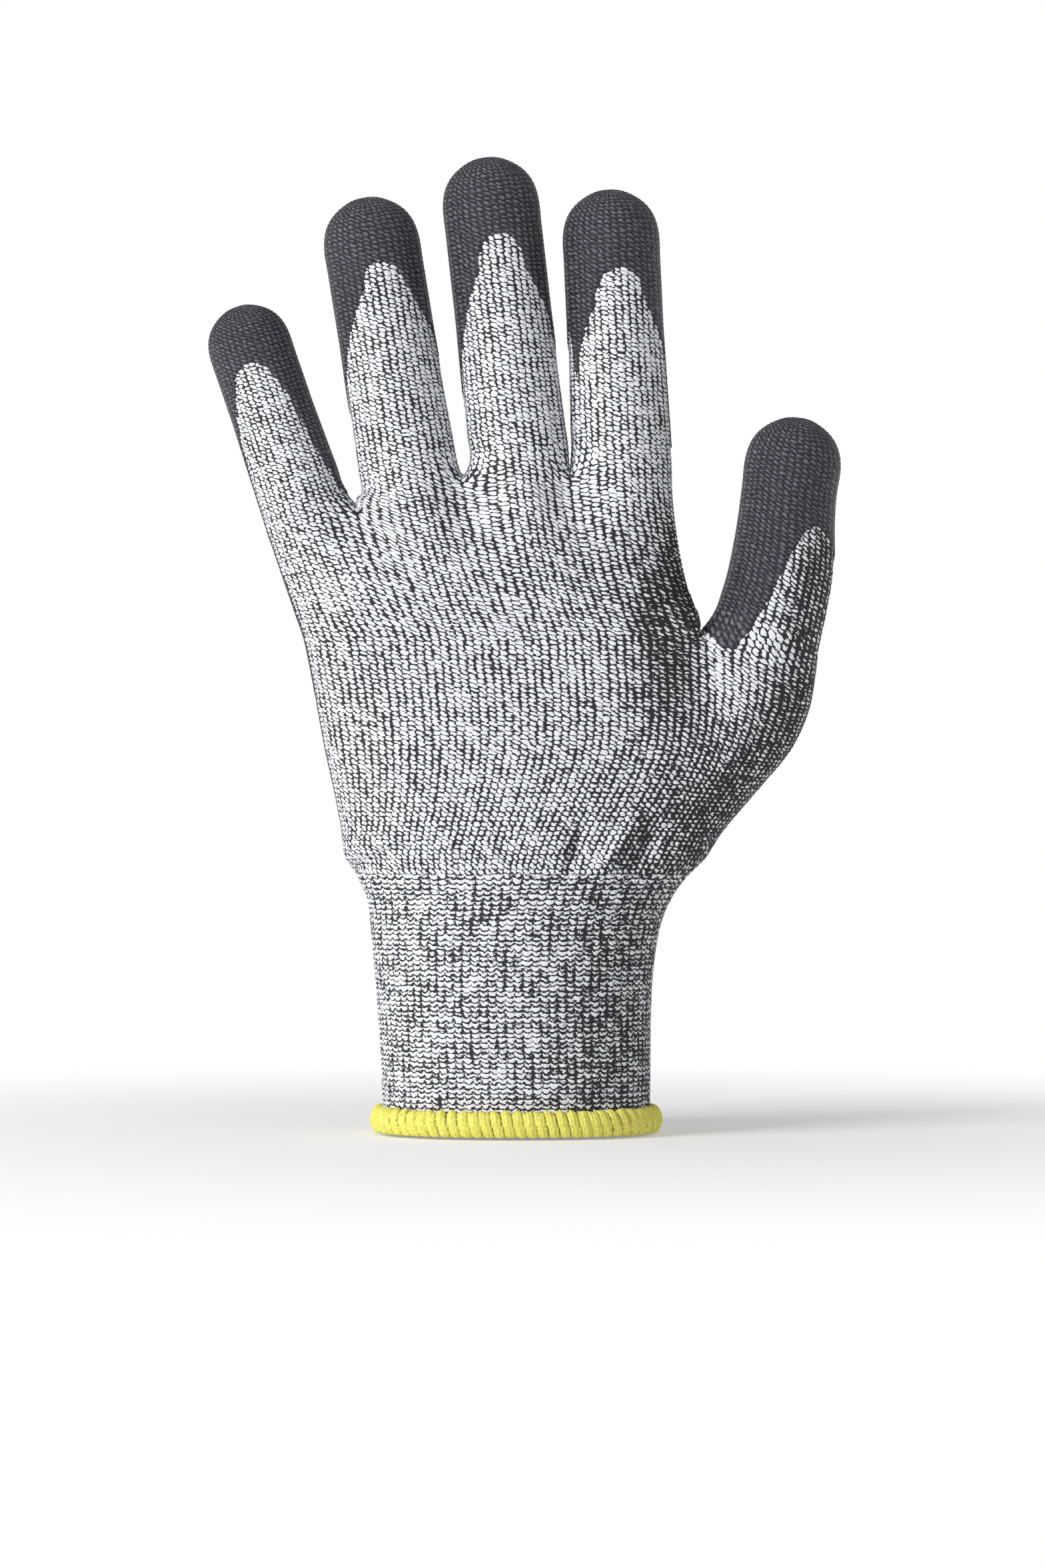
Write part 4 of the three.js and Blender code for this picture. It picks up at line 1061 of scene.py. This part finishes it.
def coat_material(settings):
    """Nitrile foam, dipped and cured over the knit: satin charcoal, speckled with painted highlights over the
    loops below.
    """
    material, tree, shader = new_material("Dipped black nitrile foam")
    stitch = stitch_coordinates(tree)
    grain = add_node(tree, NOISE, {
        "Vector": stitch["uv"], "Scale": STITCH_PITCH / COAT_PATCH, "Detail": 4.0, "Roughness": 0.65})
    worn = add_node(tree, RANGE, [grain, 0.35, 0.65], interpolation_type="SMOOTHSTEP")
    across = add_node(tree, MATH, [stitch["side"]], operation="ABSOLUTE")
    upward = add_node(tree, MATH, [stitch["rise"]], operation="ABSOLUTE")
    # Painted highlight: the coating is lighter on top of each loop, and the grain varies it at random
    loop = add_node(tree, MATH, [upward, -0.7], operation="MULTIPLY")
    narrow = add_node(tree, MATH, [across, 2.0], operation="POWER")
    loop = add_node(tree, MATH, [narrow, -0.4, loop], operation="MULTIPLY_ADD")
    height = add_node(tree, MATH, [grain, 1.4, loop], operation="MULTIPLY_ADD")
    crown_highlight = add_node(tree, RANGE, [height, 0.1, 0.75], interpolation_type="SMOOTHSTEP")
    tone = add_node(tree, MIX, {
        0: crown_highlight, 6: settings.hollow, 7: settings.crown_highlight}, data_type="RGBA")
    tree.links.new(tone.outputs[2], shader.inputs["Base Color"])
    # Satin where the foam is worn smooth, duller elsewhere
    satin = add_node(tree, RANGE, [worn, 0.0, 1.0, 0.46, 0.27])
    tree.links.new(satin.outputs[0], shader.inputs["Roughness"])
    bump = add_node(tree, "ShaderNodeBump", {"Height": height, "Strength": 1.0, "Distance": 0.4 * MM})
    tree.links.new(bump.outputs[0], shader.inputs["Normal"])
    return material


def hem_material(settings):
    """Bulked polyester thread, overlocked: soft bright yellow, with painted shade between its wraps."""
    material, tree, shader = new_material("Yellow polyester overlock thread")
    place = add_node(tree, "ShaderNodeTexCoord").outputs["Object"]
    strand = add_node(tree, NOISE, {
        "Vector": place, "Scale": 1 / (HEM_STRAND * MM), "Detail": 2.0})
    lit = add_node(tree, RANGE, [strand, 0.3, 0.7], interpolation_type="SMOOTHSTEP")
    thread = add_node(tree, MIX, {
        0: lit, 6: linear("#CFC84E"), 7: settings.thread}, data_type="RGBA")
    # Painted shade: the colour goes dark olive in the gaps between the wraps of thread
    cord = add_node(tree, "ShaderNodeAttribute", attribute_name="shade").outputs["Fac"]
    uneven = add_node(tree, MATH, [strand, 0.5, cord], operation="MULTIPLY_ADD")
    wrap = add_node(tree, RANGE, [uneven, 0.43, 0.67], interpolation_type="SMOOTHSTEP")
    mix = add_node(tree, MIX, {
        0: wrap, 6: linear("#4A441C"), 7: thread.outputs[2]}, data_type="RGBA")
    tree.links.new(mix.outputs[2], shader.inputs["Base Color"])
    # Polyester is a little smoother than the knit's yarn
    shader.inputs["Roughness"].default_value = 0.6
    bump = add_node(tree, "ShaderNodeBump", {"Height": strand, "Strength": 0.5, "Distance": 0.2 * MM})
    tree.links.new(bump.outputs[0], shader.inputs["Normal"])
    return material


def elastic_material(settings):
    """Rubber core covered with spun yarn: a matt off-white thread."""
    material, _, shader = new_material("Covered elastic thread")
    shader.inputs["Base Color"].default_value = settings.cover
    shader.inputs["Roughness"].default_value = 0.7
    return material


def mesh_object(name, points, quads, material, uv=None, shade=None, normals=None):
    """A mesh of quads, points in millimetres, with its stitch places and painted shade."""
    mesh = bpy.data.meshes.new(name)
    used, local = np.unique(quads, return_inverse=True)
    local = local.reshape(quads.shape)
    mesh.vertices.add(len(used))
    mesh.vertices.foreach_set("co", (points[used] * MM).ravel())
    mesh.loops.add(local.size)
    mesh.loops.foreach_set("vertex_index", local.ravel())
    mesh.polygons.add(len(local))
    mesh.polygons.foreach_set("loop_start", np.arange(len(local)) * 4)
    mesh.update(calc_edges=True)
    if uv is not None:
        mesh.uv_layers.new(name="stitches").data.foreach_set("uv", uv.ravel())
    if shade is not None:
        attribute = mesh.attributes.new("shade", "FLOAT", "POINT")
        attribute.data.foreach_set("value", shade[used])
    mesh.shade_smooth()
    mesh.materials.append(material)
    if normals is not None:
        mesh.normals_split_custom_set_from_vertices(normals[used])
    piece = bpy.data.objects.new(name, mesh)
    bpy.context.scene.collection.objects.link(piece)
    return piece


def fasten(piece, plan, layer):
    """Lets a piece ride with its body, or leaves one that spans two bodies fixed in place, and hides the
    nodes it replaces.
    """
    if "to" in plan:
        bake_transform(piece)
    else:
        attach(piece, plan["body"])
    if plan.get(layer):
        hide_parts(*plan[layer])


@functools.lru_cache(maxsize=1)
def dressed_surface(stitch_rise, coat_rise):
    """The fine surface with its relief, its coating and the piece of every quad.

    The knit and the coating share it, so it is kept once it has been worked out.
    """
    surface = knit_surface()
    points, quads, stitches = surface["points"], surface["quads"], surface["stitches"]
    count = len(points)
    smooth = surface_normals(points, quads)
    points = points + smooth * crease_height(points)[:, None]
    smooth = surface_normals(points, quads)
    middle = stitches.mean(1)
    surface["course"] = middle[:, 1]
    # The wrist ends on a quarter of a course, where even the coarse mesh has a row
    step = (CROTCH_ROW - CUFF_TOP) / (STITCHES * HAND_ROWS)
    rows = round((WRIST_HIGH - CUFF_TOP) / step * 4) / 4
    surface["wrist_course"] = STITCHES * CUFF_ROWS + rows
    rise = at_points(stitch_relief(stitches), quads, count)
    noise = at_points(stitch_noise(stitches), quads, count)
    coat = coat_distance(points) + COAT_UNEVEN * noise
    surface["coat"] = coat
    flat = stitch_rise * (rise - 0.5)
    surface["knit_points"] = points + smooth * flat[:, None]
    surface["knit_normals"] = surface_normals(surface["knit_points"], quads)
    lift = (COAT_SINK + coat_rise) * smoothstep(*COAT_SLOPE, coat) - COAT_SINK
    lift += COAT_RELIEF_SHARE * flat
    surface["coat_points"] = points + smooth * lift[:, None]
    surface["coat_normals"] = surface_normals(surface["coat_points"], quads)
    # Painted shade with black yarn: how far each point faces the thumb, away from the key light, fading out
    # towards the fingertips
    surface["shade"] = smooth[:, 0] * (1 - smoothstep(*SHADE_FADE, points[:, 2]))
    centres = points[quads].mean(1)
    surface["label"] = cut_lines(surface, centres)
    near = np.linalg.norm(centres - CROTCH, axis=1) < TUCK_REACH
    surface["tucked"] = near & (surface["label"] == "thumb_base")
    surface["smooth"] = smooth
    return surface


def cut_piece(surface, name, layer, kept, material):
    """One piece of the knit or the coating.

    The two sides of the hand also reach a little way under the thumb's pieces, so that no gap
    opens at the crotch when the thumb swings.
    """
    points, normals, shade = (surface[key] for key in (f"{layer}_points", f"{layer}_normals", "shade"))
    own = (surface["label"] == name) & kept
    if not own.any():
        return None
    quads, stitches = surface["quads"][own], surface["stitches"][own]
    if name in ("back", "palm"):
        under = surface["tucked"] & kept & ((surface["part"] % 2 == 1) == (name == "palm"))
        quads = np.concatenate([quads, surface["quads"][under] + len(points)])
        stitches = np.concatenate([stitches, surface["stitches"][under]])
        points = np.concatenate([points, points - TUCK_DEPTH * surface["smooth"]])
        normals, shade = np.concatenate([normals, normals]), np.concatenate([shade, shade])
    return mesh_object(f"{name}_{layer}", points, quads, material, stitches, shade, normals)


def glove_surface(knit, coating):
    """The dressed surface with the relief and the thickness that the settings give."""
    return dressed_surface(round(knit.relief / MM, 4), round(coating.thickness / MM, 4))


def build_knit(settings, coating):
    """The knitted pieces of the cuff, the hand, the fingers and the thumb."""
    surface = glove_surface(settings, coating)
    material = knit_material(settings)
    everywhere = np.ones(len(surface["quads"]), bool)
    for name, plan in piece_plan().items():
        piece = cut_piece(surface, name, "knit", everywhere, material)
        fasten(piece, plan, "knit")


def build_coating(settings, knit):
    """The pieces of the dipped skin over the knit."""
    surface = glove_surface(knit, settings)
    material = coat_material(settings)
    coated = (surface["coat"][surface["quads"]] > COAT_KEPT).any(1)
    for name, plan in piece_plan().items():
        piece = cut_piece(surface, name, "coat", coated, material)
        if piece:
            fasten(piece, plan, "coat")


def cuff_ring(height, out, count):
    """Points evenly spaced round the cuff, pushed outward, and their outward directions."""
    a = np.linspace(0, 2 * math.pi, 3 * HALF_STEPS + 1)[:-1]
    u = (1 + np.sign(np.cos(a)) * np.abs(np.cos(a)) ** FULLNESS) / 2
    v = np.sign(np.sin(a)) * np.abs(np.sin(a)) ** FULLNESS
    ring = section(u, v, np.full(len(a), float(height)))
    ring = np.concatenate([ring, ring[:1]])
    run = np.concatenate([[0], np.cumsum(np.linalg.norm(np.diff(ring, axis=0), axis=1))])
    at = np.linspace(0, run[-1], count + 1)[:-1]
    even = np.column_stack([np.interp(at, run, ring[:, k]) for k in range(3)])
    ahead = np.roll(even, -1, axis=0) - np.roll(even, 1, axis=0)
    normal = np.column_stack([ahead[:, 1], -ahead[:, 0], np.zeros(count)])
    normal /= np.linalg.norm(normal, axis=1, keepdims=True)
    return even + normal * out, normal, run[-1]


def tube_quads(rows, columns):
    """Quads of a tube that closes both ways, from its rows of points."""
    quads = []
    i = np.arange(columns)
    j = (i + 1) % columns
    for r in range(rows):
        s = (r + 1) % rows
        quads.append(np.column_stack([r * columns + i, r * columns + j, s * columns + j, s * columns + i]))
    return np.concatenate(quads)


def build_hem(settings):
    """A ring of thread round the cuff's mouth, with its wraps, loops and chain as relief."""
    count, rows = ((1440, 40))
    ring, normal, girth = cuff_ring(HEM_RING, 0.0, count)
    wraps = round(girth / (settings.wrap / MM))
    phase = np.arange(count) / count * wraps
    loops = HEM_LOOP_RISE * np.abs(np.sin(np.pi * phase * HEM_WRAP / HEM_LOOP))
    points, gap_shades = [], []
    for r in range(rows):
        a = 2 * math.pi * r / rows
        # Two strands to a wrap, which slant as they go over the edge
        turn = phase + HEM_SLANT * r / rows
        cord = 0.8 * np.abs(np.sin(np.pi * turn)) ** 0.6 + 0.2 * np.abs(np.sin(3 * np.pi * turn))
        chain = math.exp(-((a + HEM_CHAIN_TURN) % (2 * math.pi) / HEM_CHAIN_WIDTH) ** 2)
        rise = HEM_CORD_RISE * cord + HEM_CHAIN_RISE * chain
        out = HEM_OUT + (HEM_HALF_WIDTH + rise) * math.cos(a)
        up = HEM_TOP / 2 + (HEM_HALF_HEIGHT + rise + loops * max(math.sin(a), 0)) * math.sin(a)
        row = ring + normal * out[:, None]
        row[:, 2] = up
        points.append(row)
        # Painted shade in the gaps beside the wraps, less dark beside some wraps than beside the others
        gap_shades.append(np.where(np.sin(5.1 * np.floor(turn)) > 0.2, cord, np.maximum(cord, 0.4)))
    piece = mesh_object(
        "overlocked_hem", np.concatenate(points), tube_quads(rows, count), hem_material(settings),
        shade=np.concatenate(gap_shades))
    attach(piece, "cuff")
    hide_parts("hem_overlock")


def build_elastic(settings):
    """Threads at the heights of the frame's; those above the cuff's stiff part stay in place as the wrist's
    piece does, the others ride with the cuff.
    """
    count, rows = 360, 8
    material = elastic_material(settings)
    radius = settings.radius / MM
    wave = ELASTIC_WAVE_RISE * np.sin(np.arange(count) * 2 * math.pi / ELASTIC_WAVE_POINTS)
    wrist = piece_plan()["wrist"]
    for k in range(1, ELASTIC_COUNT + 1):
        low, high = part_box(f"cuff_elastic_{k}")
        height = (low[2] + high[2]) / 2 / MM
        ring, normal, _ = cuff_ring(height, -ELASTIC_INSET, count)
        points = []
        for r in range(rows):
            a = 2 * math.pi * r / rows
            row = ring + normal * radius * math.cos(a)
            row[:, 2] += radius * math.sin(a) + wave
            points.append(row)
        piece = mesh_object(f"elastic_{k}", np.concatenate(points), tube_quads(rows, count), material)
        plan = dict(wrist) if height > WRIST_LOW - 1 else {"body": "cuff"}
        plan["thread"] = [f"cuff_elastic_{k}"]
        fasten(piece, plan, "thread")


def build_world(settings):
    """White to the eye, and a softer even light on the glove."""
    world = bpy.data.worlds.new("studio")
    bpy.context.scene.world = world
    world.use_nodes = True
    tree = world.node_tree
    background = tree.nodes["Background"]
    path = add_node(tree, "ShaderNodeLightPath")
    seen = add_node(
        tree, MATH, [path.outputs["Is Camera Ray"], path.outputs["Is Transmission Ray"]], operation="MAXIMUM")
    background.inputs["Color"].default_value = linear("#FFFFFF")
    strength = add_node(tree, RANGE, [seen, 0.0, 1.0, settings.ambient, 1.0])
    tree.links.new(strength.outputs[0], background.inputs["Strength"])


def floor_material(settings):
    """Painted board: a dull near white that takes a soft shadow and fades into the background."""
    material, tree, shader = new_material("Plain pale floor")
    shader.inputs["Base Color"].default_value = settings.floor
    shader.inputs["Roughness"].default_value = 0.95
    place = add_node(tree, "ShaderNodeNewGeometry").outputs["Position"]
    away = add_node(tree, VECTOR_MATH, [place], operation="LENGTH").outputs["Value"]
    fade = add_node(
        tree, RANGE, [away, *FLOOR_FADE, FLOOR_GLOW_SHARE, 1.0], interpolation_type="SMOOTHSTEP")
    glow = add_node(tree, "ShaderNodeEmission", {"Color": linear("#FFFFFF"), "Strength": 1.0})
    blend = add_node(tree, "ShaderNodeMixShader", [fade, shader, glow])
    tree.links.new(blend.outputs[0], tree.nodes["Material Output"].inputs["Surface"])
    return material


def build_floor(settings):
    """A wide floor just under the hem."""
    mesh = bpy.data.meshes.new("floor")
    half = FLOOR_HALF
    corners = [(-half, -half, 0), (half, -half, 0), (half, half, 0), (-half, half, 0)]
    mesh.from_pydata(corners, [], [(0, 1, 2, 3)])
    mesh.materials.append(floor_material(settings))
    floor = bpy.data.objects.new("floor", mesh)
    floor.location.z = -FLOOR_DROP
    bpy.context.scene.collection.objects.link(floor)
    return floor


def build_lights(settings):
    """Two soft lights, the stronger on the little finger's side."""
    lights = [
        ("key", KEY_PLACE, KEY_SIZE, settings.key_power),
        ("fill", FILL_PLACE, FILL_SIZE, settings.fill_power),
    ]
    for name, place, size, power in lights:
        data = bpy.data.lights.new(name, "AREA")
        data.size = size
        data.energy = power
        lamp = bpy.data.objects.new(name, data)
        lamp.location = place
        lamp.rotation_euler = (Vector(LIGHTS_AIM) - Vector(place)).to_track_quat("-Z", "Y").to_euler()
        bpy.context.scene.collection.objects.link(lamp)


def build_camera():
    """The photograph's view of the back of the hand."""
    data = bpy.data.cameras.new("camera")
    data.sensor_width = SENSOR
    data.lens = data.sensor_width * CAMERA_BACK / VIEW_HEIGHT
    camera = bpy.data.objects.new("camera", data)
    camera.location = (VIEW_MIDDLE[0] * MM, -CAMERA_BACK * MM, VIEW_MIDDLE[1] * MM)
    camera.rotation_euler = (math.pi / 2, 0, 0)
    bpy.context.scene.collection.objects.link(camera)
    bpy.context.scene.camera = camera


def build_stage(settings):
    """White surroundings, floor, lights and camera."""
    bpy.context.scene.view_settings.view_transform = "Standard"
    build_world(settings)
    floor = build_floor(settings)
    build_lights(settings)
    build_camera()


class GloveKnitSettings(bpy.types.PropertyGroup):
    pale_yarn: FloatVectorProperty(
        name="Pale yarn", description="Colour of the cut resistant yarn where it catches the light",
        size=4, subtype="COLOR", min=0, max=1, default=linear("#F7F7FA"))
    black_yarn: FloatVectorProperty(
        name="Black yarn", description="Colour of the yarn plated behind it",
        size=4, subtype="COLOR", min=0, max=1, default=linear("#1D1C20"))
    relief: FloatProperty(
        name="Stitch relief", description="How far a stitch stands over the gaps beside it",
        default=STITCH_RISE * MM, unit="LENGTH", subtype="DISTANCE")


class GloveCoatingSettings(bpy.types.PropertyGroup):
    # Painted highlight: the lighter colour on top of each loop
    crown_highlight: FloatVectorProperty(
        name="Crowns", description="Colour of the coating on top of a loop",
        size=4, subtype="COLOR", min=0, max=1, default=linear("#6C6B75"))
    hollow: FloatVectorProperty(
        name="Hollows", description="Colour of the coating between the loops",
        size=4, subtype="COLOR", min=0, max=1, default=linear("#201F24"))
    thickness: FloatProperty(
        name="Thickness", description="How far the coating stands over the knit",
        default=COAT_RISE * MM, unit="LENGTH", subtype="DISTANCE")


class GloveHemSettings(bpy.types.PropertyGroup):
    thread: FloatVectorProperty(
        name="Thread", description="Colour of the overlock thread, which also tells the size",
        size=4, subtype="COLOR", min=0, max=1, default=linear("#E6E06E"))
    wrap: FloatProperty(
        name="Wrap", description="Length of the hem that one wrap of thread takes",
        default=HEM_WRAP * MM, unit="LENGTH", subtype="DISTANCE")


class GloveElasticSettings(bpy.types.PropertyGroup):
    cover: FloatVectorProperty(
        name="Cover", description="Colour of the yarn round the elastic",
        size=4, subtype="COLOR", min=0, max=1, default=linear("#D8D6CF"))
    radius: FloatProperty(
        name="Radius", description="Radius of the elastic thread",
        default=ELASTIC_RADIUS * MM, unit="LENGTH", subtype="DISTANCE")


class GloveStageSettings(bpy.types.PropertyGroup):
    floor: FloatVectorProperty(
        name="Floor", description="Colour of the floor under the glove",
        size=4, subtype="COLOR", min=0, max=1, default=linear("#FAFAFA"))
    ambient: FloatProperty(
        name="Ambient", description="Strength of the light from all round",
        default=0.42, min=0, subtype="FACTOR")
    key_power: FloatProperty(
        name="Key light", description="Power of the soft light from the little finger's side",
        default=20.0, unit="POWER")
    fill_power: FloatProperty(
        name="Fill light", description="Power of the soft light from the thumb's side",
        default=2.0, unit="POWER")


class GLOVE_OT_knit(bpy.types.Operator):
    """Knit the cuff, the hand, the fingers and the thumb"""
    bl_idname = "glove.knit"
    bl_label = "Knit the liner"

    def execute(self, context):
        build_knit(context.scene.glove_knit, context.scene.glove_coating)
        return {"FINISHED"}


class GLOVE_OT_coating(bpy.types.Operator):
    """Dip the palm side and the fingertips"""
    bl_idname = "glove.coating"
    bl_label = "Dip the coating"

    def execute(self, context):
        build_coating(context.scene.glove_coating, context.scene.glove_knit)
        return {"FINISHED"}


class GLOVE_OT_hem(bpy.types.Operator):
    """Overlock the cuff's mouth"""
    bl_idname = "glove.hem"
    bl_label = "Overlock the hem"

    def execute(self, context):
        build_hem(context.scene.glove_hem)
        return {"FINISHED"}


class GLOVE_OT_elastic(bpy.types.Operator):
    """Lay the elastic threads inside the cuff"""
    bl_idname = "glove.elastic"
    bl_label = "Lay the elastic"

    def execute(self, context):
        build_elastic(context.scene.glove_elastic)
        return {"FINISHED"}


class GLOVE_OT_stage(bpy.types.Operator):
    """Add the floor, the lights and the camera"""
    bl_idname = "glove.stage"
    bl_label = "Set the stage"

    def execute(self, context):
        build_stage(context.scene.glove_stage)
        return {"FINISHED"}


# Each operator with the name and the class of its settings
GROUPS = [
    (GLOVE_OT_knit, "glove_knit", GloveKnitSettings),
    (GLOVE_OT_coating, "glove_coating", GloveCoatingSettings),
    (GLOVE_OT_hem, "glove_hem", GloveHemSettings),
    (GLOVE_OT_elastic, "glove_elastic", GloveElasticSettings),
    (GLOVE_OT_stage, "glove_stage", GloveStageSettings),
]


class GLOVE_PT_panel(bpy.types.Panel):
    """Settings and steps of the glove"""
    bl_idname = "GLOVE_PT_panel"
    bl_label = "Cut resistant glove"
    bl_space_type = "VIEW_3D"
    bl_region_type = "UI"
    bl_category = "Glove"

    def draw(self, context):
        for operator, name, group in GROUPS:
            box = self.layout.box()
            settings = getattr(context.scene, name)
            for key in group.__annotations__:
                box.prop(settings, key)
            box.operator(operator.bl_idname)


def register():
    for operator, name, group in GROUPS:
        bpy.utils.register_class(group)
        setattr(bpy.types.Scene, name, PointerProperty(type=group))
        bpy.utils.register_class(operator)
    bpy.utils.register_class(GLOVE_PT_panel)


def unregister():
    bpy.utils.unregister_class(GLOVE_PT_panel)
    for operator, name, group in reversed(GROUPS):
        bpy.utils.unregister_class(operator)
        delattr(bpy.types.Scene, name)
        bpy.utils.unregister_class(group)


def main():
    register()
    bpy.ops.glove.knit()
    bpy.ops.glove.coating()
    bpy.ops.glove.hem()
    bpy.ops.glove.elastic()
    bpy.ops.glove.stage()


if __name__ == "__main__":
    main()
